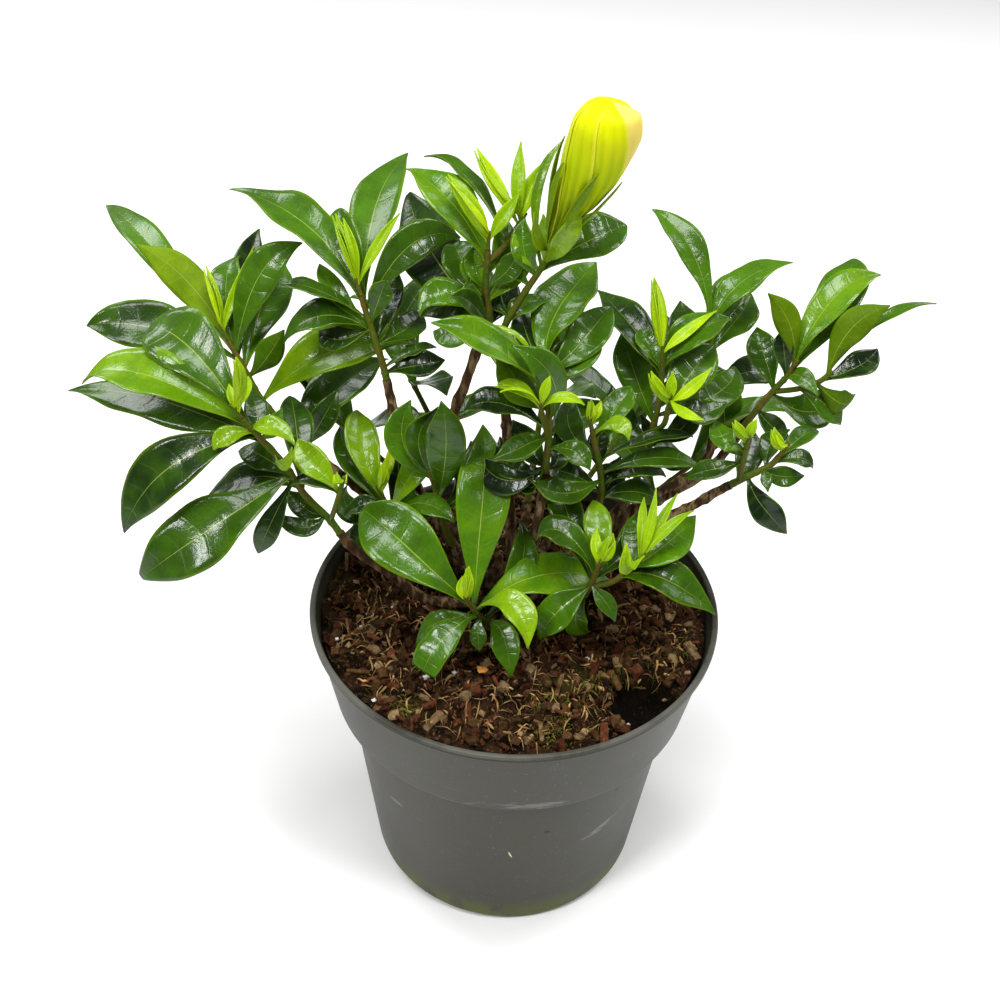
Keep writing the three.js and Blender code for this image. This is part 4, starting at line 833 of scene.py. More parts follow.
# how a blade widens from its foot and narrows to its tip
FOOT_SHAPE = 1.25
SHOULDER_SHAPE = 1.15
TIP_SHAPE = 1.1
# how far a leaf's side veins lead its skin forward, as a share of its length
SKEW = 0.1


def leaf_half(place, widest, point):
    """Half the width of a leaf at a place along it, as a share of the greatest."""
    if place < widest:
        return math.sin(0.5 * math.pi * place / widest) ** FOOT_SHAPE
    beyond = (place - widest) / (1 - widest)
    return max(0.0, math.cos(0.5 * math.pi * beyond**SHOULDER_SHAPE * point)) ** TIP_SHAPE


def leaf_template(name, widest, fold, quilt, point=1.0):
    """A flat grid worked into a blade: -1 to 1 across, 0 to 1 along, folded, and quilted between veins."""
    let_go()
    bpy.ops.mesh.primitive_grid_add(x_subdivisions=LEAF_COLUMNS, y_subdivisions=LEAF_ROWS, size=2)
    piece = bpy.context.object
    piece.name = name
    open_all()
    bpy.ops.transform.translate(value=(0, 1, 0))
    bpy.ops.transform.resize(value=(1, 0.5, 1), center_override=(0, 0, 0))
    for column in (0.5, 1):
        pick(piece, lambda co, column=column: abs(abs(co.x) - column) < 0.01)
        bpy.ops.transform.translate(value=(0, 0, fold * (column - 0.3 * column**2)))
    for row in range(1, LEAF_ROWS):
        place = row / LEAF_ROWS
        lift = quilt * math.sin(math.pi * place) ** 0.5 * (1 if row % 2 else -1)
        pick(piece, lambda co, place=place: abs(co.y - place) < 0.01 and 0.4 < abs(co.x) < 0.6)
        bpy.ops.transform.translate(value=(0, 0, lift))
        pick(piece, lambda co, place=place: abs(co.y - place) < 0.01 and abs(co.x) > 0.9)
        bpy.ops.transform.translate(value=(0, 0, 0.5 * lift))
    close()
    mesh = piece.data
    co = points_of(mesh)
    uv = mesh.uv_layers[0].data
    for corner in mesh.loops:
        across, along = co[corner.vertex_index][:2]
        uv[corner.index].uv = (0.5 + 0.5 * across, along)
    mark(mesh, "share", np.abs(co[:, 0]))
    for row in range(LEAF_ROWS + 1):
        place = row / LEAF_ROWS
        half = max(leaf_half(place, widest, point), 0.001)
        pick(piece, lambda co, place=place: abs(co.y - place) < 0.01)
        bpy.ops.transform.resize(value=(half, 1, 1), center_override=(0, 0, 0))
    for column in (-1, -0.5, 0.5, 1):
        for row in range(1, LEAF_ROWS):
            place = row / LEAF_ROWS
            here = column * leaf_half(place, widest, point)
            skew = SKEW * abs(column) ** 1.3 * math.sin(math.pi * place) * (1 - place) ** 0.5
            spot = Vector((here, place))
            pick(piece, lambda co, spot=spot: max(abs(co.x - spot.x), abs(co.y - spot.y)) < 0.004)
            bpy.ops.transform.translate(value=(0, skew, 0))
    close()
    return piece


def curl_of(chance, much=1.0):
    """What makes one leaf differ from the next: waves of its edges, a twist, and how its sides are held."""
    return {
        "wave": chance.uniform(0.07, 0.19) * much,
        "turns": chance.uniform(1.6, 2.8),
        "phases": (chance.uniform(0, 1), chance.uniform(0, 1)),
        "twist": math.radians(chance.uniform(-22, 22)) * much,
        "cup": chance.uniform(-0.18, 0.2) * much,
        "hook": chance.uniform(-0.05, 0.36) * much,
        "sway": chance.uniform(-0.07, 0.07) * much,
    }


def blade(template, root, middle, tip, face, wide, curl, petiole=PETIOLE, tone=0.5):
    """A leaf: a copy of a template laid along its midrib."""
    mesh = template.data.copy()
    share = np.empty(len(mesh.vertices), dtype=np.float32)
    mesh.attributes["share"].data.foreach_get("value", share)
    across, place, lift = points_of(mesh).T
    t = np.clip(place, 0, 1)[:, None]
    bend = 2 * middle - (root + tip) / 2
    spine = (1 - t) ** 2 * root + 2 * t * (1 - t) * bend + t**2 * tip
    along = unit((1 - t) * (bend - root) + t * (tip - bend))
    side = unit(np.cross(tip - root, face))
    crossways = unit(side - along * (along @ side)[:, None])
    up = np.cross(crossways, along)
    angle = (curl["twist"] * (t[:, 0] - 0.5) * 2)[:, None]
    crossways, up = (
        crossways * np.cos(angle) + up * np.sin(angle),
        up * np.cos(angle) - crossways * np.sin(angle),
    )
    half = wide / 2
    least = mix(petiole, TIP_WIDTH, t[:, 0]) / 2
    reach = np.sign(across) * np.maximum(np.abs(across) * half, share * least)
    phase = np.where(across > 0, curl["phases"][0], curl["phases"][1])
    body = np.sin(np.pi * t[:, 0])
    wave = curl["wave"] * share**2 * body * np.sin(2 * np.pi * (curl["turns"] * t[:, 0] + phase))
    rise = lift * body**0.5 + wave + curl["cup"] * share**2 * body - curl["hook"] * t[:, 0] ** 5
    reach = reach + curl["sway"] * half * np.sin(2 * np.pi * t[:, 0])
    set_points(mesh, spine + crossways * reach[:, None] + up * (rise * half)[:, None])
    mark(mesh, "tone", tone)
    return object_from(mesh, "blade")


def seen_leaf(template, row, root, curl, petiole=PETIOLE, tone=0.5):
    """A leaf that is seen in the picture, grown from its root."""
    depth = depth_of(root)
    far = row["far"] * MM
    tip = seen_at_depth(row["tip"], depth + far)
    chord = tip - root
    middle = seen_at_depth(row["by"], depth + far / 2 - ARCH_SHARE * float(np.linalg.norm(chord)))
    sight = unit(middle - EYE)
    side = unit(np.cross(chord, sight))
    face = unit(np.cross(chord, side))
    axis = unit(chord)
    turn = math.radians(row["turn"])
    face = face * math.cos(turn) + np.cross(axis, face) * math.sin(turn)
    wide = min(row["wide"] * MM, ROUNDEST * float(np.linalg.norm(chord)))
    return blade(template, root, middle, tip, face, wide, curl, petiole, tone)


# ---------------------------------------------------------------- shoots

# leaves at least this wide, in mm, are blunt
BROAD = 24
# the tones that are drawn for leaves whose row gives none
SEEN_TONES = (0.08, 0.5)
BACK_TONES = (0.2, 0.6)
YOUNG_TONES = (0.35, 0.75)
# a swelling at an old leaf scar: how far it strays and how long it is, as shares of the limb's length
KNOT_STRAY = 0.3
KNOT_LENGTH = 0.012


def bark_ridges(piece, depth, scale):
    """Roughens a limb with small ridges and hollows."""
    mesh = piece.data
    co = points_of(mesh)
    normals = np.array([v.normal for v in mesh.vertices])
    rough = np.array([noise.noise(Vector(p) * scale) for p in co])
    set_points(mesh, co + normals * (depth * rough)[:, None])


def knobbly(count, start, end, knots, swell, chance):
    """Radii along a limb that thins, with a swelling at each old leaf scar."""
    shares = np.linspace(0, 1, count)
    radii = mix(start, end, shares)
    for k in range(knots):
        place = (k + 0.5 + chance.uniform(-KNOT_STRAY, KNOT_STRAY)) / knots
        radii = radii * (1 + swell * np.exp(-(((shares - place) / KNOT_LENGTH) ** 2)))
    return radii


def leafy_shoot(plan, chance):
    """A shoot with the leaves that are seen on it and those inside it."""
    stem, wood_end = stem_of(plan)
    start = wood_end + GAP / stem.length
    twigs = []
    for side in plan["twigs"]:
        share, _ = nearest_on(stem, side["start"], wood_end + TWIG_SEARCH, 1)
        twigs.append(Path([stem.at(share)] + [seen_on_plane(p) for p in side["path"]]))
    margin = END_CLEARANCE / stem.length
    axes = [(stem, start + margin, 1 - margin)]
    axes += [(path, TWIG_BARE, 1 - END_CLEARANCE / path.length) for path in twigs]
    roots = roots_of(plan["leaves"], axes)
    leaves = []
    for row, root in zip(plan["leaves"], roots):
        tone = row["tone"] if row["tone"] is not None else chance.uniform(*SEEN_TONES)
        kind = broad if row["wide"] >= BROAD else mature
        kind = trimmed if row["cut"] else kind
        leaves.append(seen_leaf(kind, row, root, curl_of(chance), tone=tone))
    for row in INNER_LEAVES.get(plan["name"], []):
        axis, share = nearest_axis(row["root"], axes)
        root = axes[axis][0].at(share)
        leaves.append(seen_leaf(mature, row, root, curl_of(chance), tone=row["tone"]))
    return {"stem": stem, "start": start, "wood_end": wood_end, "twigs": twigs, "leaves": leaves}


def seeded(seed):
    """The row of random numbers that the solids were made with."""
    state = seed
    while True:
        state = (state * 16807) % 2147483647
        yield state / 2147483647


BACK_NODES = 3
BACK_LEAF_LENGTH = 50 * MM
BACK_LEAF_WIDTH = 20 * MM
BACK_LENGTH_RANGE = (0.8, 1.1)
BACK_WIDTH_RANGE = (0.85, 1.1)
BACK_TOP_SIZE = 0.8
BACK_WOOD_END = 0.42
BACK_BARE = 0.24
# degrees above the level at the lowest and at the highest pair of leaves
BACK_LOW_RISE = 8
BACK_TOP_RISE = 58
BEARING_STRAY = 12
RISE_STRAY = 7
# the lowest leaves that point further to the front than this would be in the shade, and are left out
SHADED = -0.3


def leafy_back_shoot(plan, chance):
    """A shoot at the back: pairs of leaves, each pair a quarter turn round from the one below."""
    draws = seeded(plan["seed"])
    stem = Path([CROWN, np.array(plan["via"]) * MM, np.array(plan["tip"]) * MM])
    start = BACK_WOOD_END + GAP / stem.length
    leaves = []
    for node in range(BACK_NODES):
        height = node / (BACK_NODES - 1)
        root = stem.at(mix(start + BACK_BARE, 1 - END_CLEARANCE / stem.length, height))
        for half_turn in (0, 180):
            bearing = plan["bearing"] + node * 90 + half_turn
            bearing += mix(-BEARING_STRAY, BEARING_STRAY, next(draws))
            rise = mix(BACK_LOW_RISE, BACK_TOP_RISE, height) + mix(-RISE_STRAY, RISE_STRAY, next(draws))
            bearing, rise = math.radians(bearing), math.radians(rise)
            level = math.cos(rise)
            way = np.array((math.cos(bearing) * level, math.sin(bearing) * level, math.sin(rise)))
            if node == 0 and way[1] < SHADED:
                continue
            face = unit(np.array((0, 0, 1.0)) - way * way[2])
            size = BACK_LEAF_LENGTH * mix(*BACK_LENGTH_RANGE, next(draws)) * mix(1, BACK_TOP_SIZE, height)
            width = BACK_LEAF_WIDTH * mix(*BACK_WIDTH_RANGE, next(draws))
            tip = root + way * size
            middle = (root + tip) / 2 + face * ARCH_SHARE * size
            tone = chance.uniform(*BACK_TONES)
            leaves.append(blade(mature, root, middle, tip, face, width, curl_of(chance), tone=tone))
    return {"stem": stem, "start": start, "wood_end": BACK_WOOD_END, "twigs": [], "leaves": leaves}


STEM_STEPS = 40
STEM_KNOTS = 5
STEM_SWELL = 0.22
TWIG_STEPS = 16


def green_parts(grown):
    """The green stem of a shoot and its twigs."""
    stem = grown["stem"]
    line = stem.part(grown["start"], 1, STEM_STEPS)
    chance = random.Random(int(stem.length * 1e6))
    radii = knobbly(STEM_STEPS, GREEN_RADIUS, GREEN_TIP_RADIUS, STEM_KNOTS, STEM_SWELL, chance)
    parts = [tube(line, radii, "stem")]
    for path in grown["twigs"]:
        parts.append(tube(path.part(0, 1, TWIG_STEPS), [GREEN_TIP_RADIUS] * TWIG_STEPS, "twig"))
    return parts


# young blades are folded, so they look narrower than they are
YOUNG_WIDTH = 0.74
YOUNG_CURL = 0.6
# the slim leaves that wrap a young tip: their width as a share, how far they stand off it in the picture
# (points) and in depth (mm), and how far they are turned (degrees)
SHEATH_WIDTH = 0.5
SHEATH_SPREAD = 2.6
SHEATH_NEARER = 2
SHEATH_TURN = 38
GROWTH_MIDDLE_RADIUS = 0.8 * MM


def sheathed(rows):
    """The young leaves of a tip, with the slim ones that still wrap the first of them."""
    first = rows[0]
    wraps = []
    for side in (-1, 1):
        wraps.append(
            {
                **first,
                "by": (first["by"][0] + side * SHEATH_SPREAD, first["by"][1] + SHEATH_SPREAD),
                "tip": (first["tip"][0] + side * SHEATH_SPREAD, first["tip"][1] + (2 + side) * SHEATH_SPREAD),
                "far": first["far"] - SHEATH_NEARER,
                "wide": first["wide"] * SHEATH_WIDTH,
                "turn": first["turn"] + side * SHEATH_TURN,
            }
        )
    return [*rows, *wraps]


def new_growth(plan, grown, chance):
    """The short tip at the end of a shoot or twig, and its young leaves."""
    host = grown[plan["on"]]
    path = host["stem"] if plan["on_twig"] is None else host["twigs"][plan["on_twig"]]
    end, along = path.at(1.0), path.way(1.0)
    start, head = end + along * GAP, end + along * GROWTH_LENGTH
    radii = [GROWTH_RADIUS, GROWTH_MIDDLE_RADIUS, GROWTH_TIP_RADIUS]
    parts = [tube([start, mix(start, head, 0.5), head], radii, "tip")]
    rows = sheathed(plan["leaves"])
    for k, row in enumerate(rows):
        root = mix(start, head, mix(GROWTH_FOOT, GROWTH_HEAD, (k + 0.5) / len(rows)))
        tone = row["tone"] if row["tone"] is not None else chance.uniform(*YOUNG_TONES)
        narrow = {**row, "wide": row["wide"] * YOUNG_WIDTH}
        parts.append(seen_leaf(slender, narrow, root, curl_of(chance, YOUNG_CURL), YOUNG_PETIOLE, tone))
    return parts


# ---------------------------------------------------------------- colour and surface


def linear(red, green, blue):
    """A colour given as it is seen on a screen, from 0 to 255, as the renderer wants it."""

    def one(value):
        value /= 255
        return value / 12.92 if value <= 0.04045 else ((value + 0.055) / 1.055) ** 2.4

    return (one(red), one(green), one(blue), 1)


def shade(colour, share):
    """A darker kind of a colour."""
    return linear(*[share * c for c in colour])


class Wiring:
    """Adds nodes to a node tree and joins them up."""

    def __init__(self, tree):
        self.tree = tree

    def add(self, kind, **settings):
        node = self.tree.nodes.new(kind)
        for key, value in settings.items():
            setattr(node, key, value)
        return node

    def feed(self, socket, value):
        """Links a socket to an output, or sets it to a value."""
        if isinstance(value, bpy.types.NodeSocket):
            self.tree.links.new(value, socket)
        else:
            socket.default_value = value

    def maths(self, operation, a, b=0.0, clamp=False):
        node = self.add("ShaderNodeMath", operation=operation, use_clamp=clamp)
        self.feed(node.inputs[0], a)
        self.feed(node.inputs[1], b)
        return node.outputs[0]

    def times(self, a, b):
        return self.maths("MULTIPLY", a, b)

    def plus(self, a, b, clamp=False):
        return self.maths("ADD", a, b, clamp)

    def less(self, a, b):
        return self.maths("SUBTRACT", a, b)

    def between(self, value, low, high):
        """How far a value has come from low to high, eased, from 0 to 1."""
        node = self.add("ShaderNodeMapRange", interpolation_type="SMOOTHSTEP")
        for socket, given in zip(node.inputs, (value, low, high)):
            self.feed(socket, given)
        return node.outputs[0]

    def blend(self, share, a, b):
        node = self.add("ShaderNodeMix", data_type="RGBA")
        self.feed(node.inputs[0], share)
        self.feed(node.inputs[6], a)
        self.feed(node.inputs[7], b)
        return node.outputs[2]

    def coordinates(self, kind="Object"):
        return self.add("ShaderNodeTexCoord").outputs[kind]

    def split(self, vector):
        """The three parts of a vector."""
        node = self.add("ShaderNodeSeparateXYZ")
        self.feed(node.inputs[0], vector)
        return node.outputs

    def stretched(self, where, scale):
        node = self.add("ShaderNodeMapping")
        node.inputs["Scale"].default_value = scale
        self.feed(node.inputs["Vector"], where)
        return node.outputs[0]

    def grain(self, where, scale, detail=3.0, rough=0.5, squash=None):
        """Noise, at will squashed along the axes."""
        if squash is not None:
            where = self.stretched(where, squash)
        node = self.add("ShaderNodeTexNoise")
        for name, value in {"Vector": where, "Scale": scale, "Detail": detail, "Roughness": rough}.items():
            self.feed(node.inputs[name], value)
        return node.outputs[0]

    def bump(self, height, strength, distance):
        node = self.add("ShaderNodeBump")
        self.feed(node.inputs["Height"], height)
        node.inputs["Strength"].default_value = strength
        node.inputs["Distance"].default_value = distance
        return node.outputs[0]

    def attribute(self, name):
        return self.add("ShaderNodeAttribute", attribute_name=name).outputs["Fac"]

    def group(self, tree, **given):
        node = self.add("ShaderNodeGroup", node_tree=tree)
        for name, value in given.items():
            self.feed(node.inputs[name], value)
        return node.outputs


def node_group(name, inputs, outputs):
    """An empty group with float inputs, and the wiring to fill it."""
    tree = bpy.data.node_groups.new(name, "ShaderNodeTree")
    for key, value in inputs.items():
        socket = tree.interface.new_socket(key, in_out="INPUT", socket_type="NodeSocketFloat")
        socket.default_value = value
    for key in outputs:
        tree.interface.new_socket(key, in_out="OUTPUT", socket_type="NodeSocketFloat")
    wiring = Wiring(tree)
    return wiring, wiring.add("NodeGroupInput").outputs, wiring.add("NodeGroupOutput").inputs


# the fine net between a leaf's veins: its cells across and along the leaf
NET_CELLS = (9, 22, 1)
NET_SCALE = 2.2


def vein_group():
    """Masks of a leaf's midrib, side veins and edge, and the height of its skin."""
    masks = ("midrib", "veins", "height", "edge")
    w, given, out = node_group("leaf_veins", {"pairs": 7.0, "rib": 0.05}, masks)
    uv = w.coordinates("UV")
    parts = w.split(uv)
    across = w.times(w.maths("ABSOLUTE", w.less(parts[0], 0.5)), 2.0)
    along = parts[1]
    midrib = w.between(across, w.times(given["rib"], w.less(1.25, along)), 0.0)
    from_vein = w.maths("ABSOLUTE", w.less(w.maths("FRACT", w.times(along, given["pairs"])), 0.5))
    from_vein = w.less(0.5, from_vein)
    vein_width = w.less(0.12, w.times(across, 0.09))
    veins = w.times(w.between(from_vein, vein_width, 0.0), w.between(across, 0.95, 0.6))
    cells = w.add("ShaderNodeTexVoronoi", feature="DISTANCE_TO_EDGE")
    w.feed(cells.inputs["Vector"], w.stretched(uv, NET_CELLS))
    cells.inputs["Scale"].default_value = NET_SCALE
    net = w.between(cells.outputs["Distance"], 0.0, 0.08)
    height = w.less(w.less(w.times(net, 0.25), w.times(veins, 0.4)), midrib)
    w.feed(out["midrib"], midrib)
    w.feed(out["veins"], veins)
    w.feed(out["edge"], w.between(across, 0.86, 1.0))
    w.feed(out["height"], height)
    return w.tree


def mottle_group():
    """Slow and fast variation over an object, as masks."""
    w, given, out = node_group("mottling", {"scale": 60.0}, ("slow", "fast"))
    where = w.coordinates()
    slow = w.grain(where, given["scale"], 2.0)
    fast = w.grain(where, w.times(given["scale"], 9.0), 4.0)
    w.feed(out["slow"], w.between(slow, 0.35, 0.65))
    w.feed(out["fast"], w.between(fast, 0.35, 0.65))
    return w.tree


# how strongly every surface mirrors its surroundings, before any gloss is added
SHEEN = 0.06
POT_SHEEN = 0.18
VEINS = vein_group()
MOTTLES = mottle_group()


def material(name):
    """A new material, the wiring for it and its shader's sockets."""
    made = bpy.data.materials.new(name)
    made.use_nodes = True
    shader = next(n for n in made.node_tree.nodes if n.type == "BSDF_PRINCIPLED")
    shader.inputs["Specular IOR Level"].default_value = SHEEN
    return made, Wiring(made.node_tree), shader.inputs


def dress(w, shader, colour, rough, skin=None):
    """Gives a shader its colour, its roughness and its bumps."""
    w.feed(shader["Base Color"], colour)
    w.feed(shader["Roughness"], rough)
    if skin is not None:
        w.feed(shader["Normal"], skin)


def glow_through(shader, weight, colours, depth):
    """Lets light soak into a surface."""
    shader["Subsurface Weight"].default_value = weight
    shader["Subsurface Radius"].default_value = colours
    shader["Subsurface Scale"].default_value = depth


# the tone at which a leaf has its middle colour
MIDDLE_TONE = 0.6
LEAF_MOTTLES = 90.0
LEAF_BUMP = 0.6 * MM
LEAF_DEPTH = 1.5 * MM
WAX_BUMP = 0.3
WAX_ROUGHNESS = 0.18


def leaf_material(name, dark, middle, bright, rib, vein_share, rough, gloss, glow=0.0, bump=0.3):
    """A leaf's skin: from dark through a middle to bright by the leaf's own tone, with paler veins."""
    made, w, shader = material(name)
    veins = w.group(VEINS)
    mottles = w.group(MOTTLES, scale=LEAF_MOTTLES)
    tone = w.plus(w.attribute("tone"), w.times(w.less(mottles["slow"], 0.5), 0.16), clamp=True)
    lower = w.maths("DIVIDE", tone, MIDDLE_TONE, clamp=True)
    upper = w.maths("DIVIDE", w.less(tone, MIDDLE_TONE), 1 - MIDDLE_TONE, clamp=True)
    colour = w.blend(upper, w.blend(lower, linear(*dark), linear(*middle)), linear(*bright))
    colour = w.blend(w.times(veins["veins"], vein_share), colour, linear(*rib))
    colour = w.blend(w.times(veins["midrib"], 0.6), colour, linear(*rib))
    # paler edges: partly the leaf's own paler margin, partly a painted rim highlight
    colour = w.blend(w.times(veins["edge"], 0.3), colour, linear(*bright))
    colour = w.blend(w.times(mottles["fast"], 0.12), colour, shade(dark, 0.6))
    skin = w.bump(w.plus(veins["height"], w.times(mottles["fast"], 0.12)), bump, LEAF_BUMP)
    dress(w, shader, colour, w.plus(w.times(mottles["slow"], 0.1), rough), skin)
    wax = w.less(w.times(mottles["fast"], 0.16), w.times(veins["veins"], 0.3))
    w.feed(shader["Coat Normal"], w.bump(wax, WAX_BUMP, LEAF_BUMP))
    shader["Coat Weight"].default_value = gloss
    shader["Coat Roughness"].default_value = WAX_ROUGHNESS
    glow_through(shader, glow, (0.6, 1.0, 0.15), LEAF_DEPTH)
    return made


def stem_material():
    """A young stem: green, browned in patches."""
    made, w, shader = material("green_stem")
    mottles = w.group(MOTTLES, scale=120.0)
    colour = w.blend(mottles["slow"], linear(70, 96, 16), linear(92, 84, 28))
    colour = w.blend(w.times(mottles["fast"], 0.35), colour, linear(70, 56, 28))
    dress(w, shader, colour, 0.5, w.bump(mottles["fast"], 0.3, 0.4 * MM))
    return made


def bark_material():
    """Grey-brown bark with cracks that run along it."""
    made, w, shader = material("bark")
    mottles = w.group(MOTTLES, scale=130.0)
    cracks = w.grain(w.coordinates(), 420.0, 4.0, 0.6, (1, 1, 0.22))
    colour = w.blend(mottles["slow"], linear(92, 70, 46), linear(142, 118, 84))
    colour = w.blend(w.between(cracks, 0.42, 0.6), linear(58, 41, 26), colour)
    dress(w, shader, colour, 0.8, w.bump(cracks, 0.7, 1.2 * MM))
    return made


def petal_material():
    """A bud's petals: green at the foot, yellow towards the top, cream on the side that has opened."""
    made, w, shader = material("petal")
    streaks = w.grain(w.coordinates(), 260.0, 3.0, 0.5, (1, 1, 0.25))
    place = w.plus(w.attribute("height"), w.times(w.less(streaks, 0.5), 0.35))
    colour = w.blend(w.between(place, 0.15, 0.65), linear(62, 98, 0), linear(156, 182, 0))
    colour = w.blend(w.between(place, 0.55, 0.95), colour, linear(200, 206, 8))
    # painted highlights on the crests of the pleats and along each petal's free edge
    colour = w.blend(w.times(w.attribute("pleat_highlight"), 0.26), colour, linear(232, 230, 10))
    colour = w.blend(w.times(w.attribute("petal_edge_highlight"), 0.4), colour, linear(228, 222, 84))
    colour = w.blend(w.attribute("opened"), colour, linear(230, 208, 96))
    dress(w, shader, colour, 0.42, w.bump(streaks, 0.35, 0.6 * MM))
    glow_through(shader, 0.25, (1.0, 0.9, 0.3), 2 * MM)
    return made


# what has rubbed off on the pot: where it is (across, up), how long and wide, in mm, its lean in degrees,
# its colour and how much it covers
RUBS = [
    (-34, 97, 30, 7, 4, (128, 128, 122), 0.5),
    (8, 104, 34, 5, 0, (128, 128, 122), 0.5),
    (40, 61, 17, 5, 28, (136, 136, 130), 0.6),
    (2, 57.5, 5.4, 0.8, 108, (214, 206, 160), 1.0),
    (-47, 67, 7, 2.6, 8, (140, 140, 134), 0.4),
    (16.7, 73.5, 3.0, 2.2, 0, (16, 15, 12), 0.9),
    (45.1, 86.2, 2.8, 2.2, 0, (16, 15, 12), 0.9),
]
# rubs longer than this, in mm, have torn edges
TORN_FROM = 10
TORN_DEPTH = 2.4
ALGAE_TOP = 19 * MM
ALGAE_FULL = 4 * MM
# the heights over which painted shade, and above it a painted highlight, come onto the top of the lip
LIP_PAINTED_SHADE = (138.9 * MM, 139.6 * MM)
LIP_HIGHLIGHT = (140.4 * MM, 141.1 * MM)
# the rubs are on the front only: they fade out between these places
FRONT = (-20 * MM, -30 * MM)


def rub(w, side, height, torn, row):
    """The share of the pot's colour that one rub mark covers."""
    across, up, length, width, lean, _, cover = row
    lean = math.radians(lean)
    x, z = w.less(side, across * MM), w.less(height, up * MM)
    along = w.plus(w.times(x, math.cos(lean)), w.times(z, math.sin(lean)))
    over = w.less(w.times(z, math.cos(lean)), w.times(x, math.sin(lean)))
    along = w.maths("DIVIDE", along, length * MM)
    over = w.maths("DIVIDE", over, width * MM)
    out = w.maths("SQRT", w.plus(w.times(along, along), w.times(over, over)))
    if length > TORN_FROM:
        out = w.plus(out, w.times(w.less(torn, 0.5), TORN_DEPTH))
        return w.times(w.between(out, 0.6, 0.0), cover)
    return w.times(w.between(out, 0.55, 0.3), cover)


def pot_material():
    """Warm grey plastic, satin, scuffed, with a film of algae near its foot, painted shade and highlight on
    its lip.
    """
    made, w, shader = material("pot_plastic")
    where = w.coordinates()
    side, depth, height = w.split(where)
    cloud = w.grain(where, 22.0, 5.0, 0.6)
    speck = w.grain(where, 900.0, 3.0, 0.6)
    scuff = w.grain(where, 60.0, 6.0, 0.7, (1, 1, 6))
    torn = w.grain(where, 260.0, 4.0, 0.7, (0.4, 0.4, 1.6))
    patchy = w.grain(where, 90.0, 4.0, 0.6, (1, 1, 0.5))
    colour = w.blend(w.between(cloud, 0.35, 0.65), linear(52, 51, 40), linear(59, 58, 47))
    colour = w.blend(w.times(w.between(scuff, 0.6, 0.78), 0.2), colour, linear(130, 128, 118))
    colour = w.blend(w.times(w.between(speck, 0.64, 0.75), 0.5), colour, linear(128, 126, 116))
    algae = w.times(w.between(height, ALGAE_TOP, ALGAE_FULL), w.between(patchy, 0.3, 0.54))
    colour = w.blend(w.times(algae, 0.9), colour, linear(78, 86, 4))
    front = w.between(depth, *FRONT)
    for row in RUBS:
        colour = w.blend(w.times(rub(w, side, height, torn, row), front), colour, linear(*row[5]))
    # painted shade darkens the top of the lip, and a patchy painted highlight lightens its uppermost part
    lip_highlight = w.times(w.between(height, *LIP_HIGHLIGHT), w.between(cloud, 0.3, 0.55))
    colour = w.blend(w.times(w.between(height, *LIP_PAINTED_SHADE), 0.55), colour, linear(34, 34, 24))
    colour = w.blend(w.times(lip_highlight, 0.22), colour, linear(150, 150, 142))
    dress(w, shader, colour, w.plus(w.times(cloud, 0.25), 0.32), w.bump(speck, 0.12, 0.3 * MM))
    shader["Specular IOR Level"].default_value = POT_SHEEN
    return made


def earth_material(name, dark, light, scale, rough=0.95, bump=0.8):
    """Bark chips and what else lies on the soil: two colours, broken up by the piece's own tone."""
    made, w, shader = material(name)
    mottles = w.group(MOTTLES, scale=scale)
    share = w.plus(w.times(mottles["slow"], 0.45), w.times(w.attribute("tone"), 0.65))
    colour = w.blend(w.maths("MINIMUM", share, 1.0), linear(*dark), linear(*light))
    colour = w.blend(w.times(mottles["fast"], 0.4), colour, shade(dark, 0.55))
    dress(w, shader, colour, rough, w.bump(mottles["fast"], bump, 1.2 * MM))
    return made


# the hollow in the soil at the right, and the painted shade that darkens it
HOLLOW = (50 * MM, -49 * MM)
HOLLOW_RADIUS = 15 * MM
HOLLOW_DEPTH = 14 * MM
# the painted shade in the hollow: the height of its darkest place, and the distances from there at which it
# begins and is full
HOLLOW_PAINTED_SHADE_LEVEL = SOIL_LEVEL - 8 * MM
HOLLOW_PAINTED_SHADE = (21 * MM, 12 * MM)


def soil_material():
    """Damp peat, brown to black, with a green film of moss in patches and painted shade in the hollow."""
    made, w, shader = material("potting_soil")
    mottles = w.group(MOTTLES, scale=150.0)
    where = w.coordinates()
    crumbs = w.grain(where, 700.0, 5.0, 0.7)
    film = w.between(w.grain(where, 38.0, 2.0), 0.56, 0.68)
    colour = w.blend(mottles["slow"], linear(10, 6, 2), linear(46, 30, 17))
    colour = w.blend(w.between(crumbs, 0.54, 0.7), colour, linear(116, 82, 50))
    colour = w.blend(w.times(film, 0.4), colour, linear(58, 58, 22))
    # painted shade, darkest deep in the hollow at the right
    from_hollow = w.add("ShaderNodeVectorMath", operation="DISTANCE")
    w.feed(from_hollow.inputs[0], where)
    from_hollow.inputs[1].default_value = (*HOLLOW, HOLLOW_PAINTED_SHADE_LEVEL)
    painted_pit_shade = w.between(from_hollow.outputs["Value"], *HOLLOW_PAINTED_SHADE)
    colour = w.blend(w.times(painted_pit_shade, 0.9), colour, linear(5, 3, 1))
    dress(w, shader, colour, 0.95, w.bump(crumbs, 0.9, 1.5 * MM))
    return made


def floor_material():
    """A pale matt floor."""
    made, w, shader = material("floor")
    cloud = w.grain(w.coordinates(), 3.0, 2.0)
    dress(w, shader, w.blend(cloud, (0.88, 0.88, 0.88, 1), (0.91, 0.91, 0.91, 1)), 0.9)
    return made


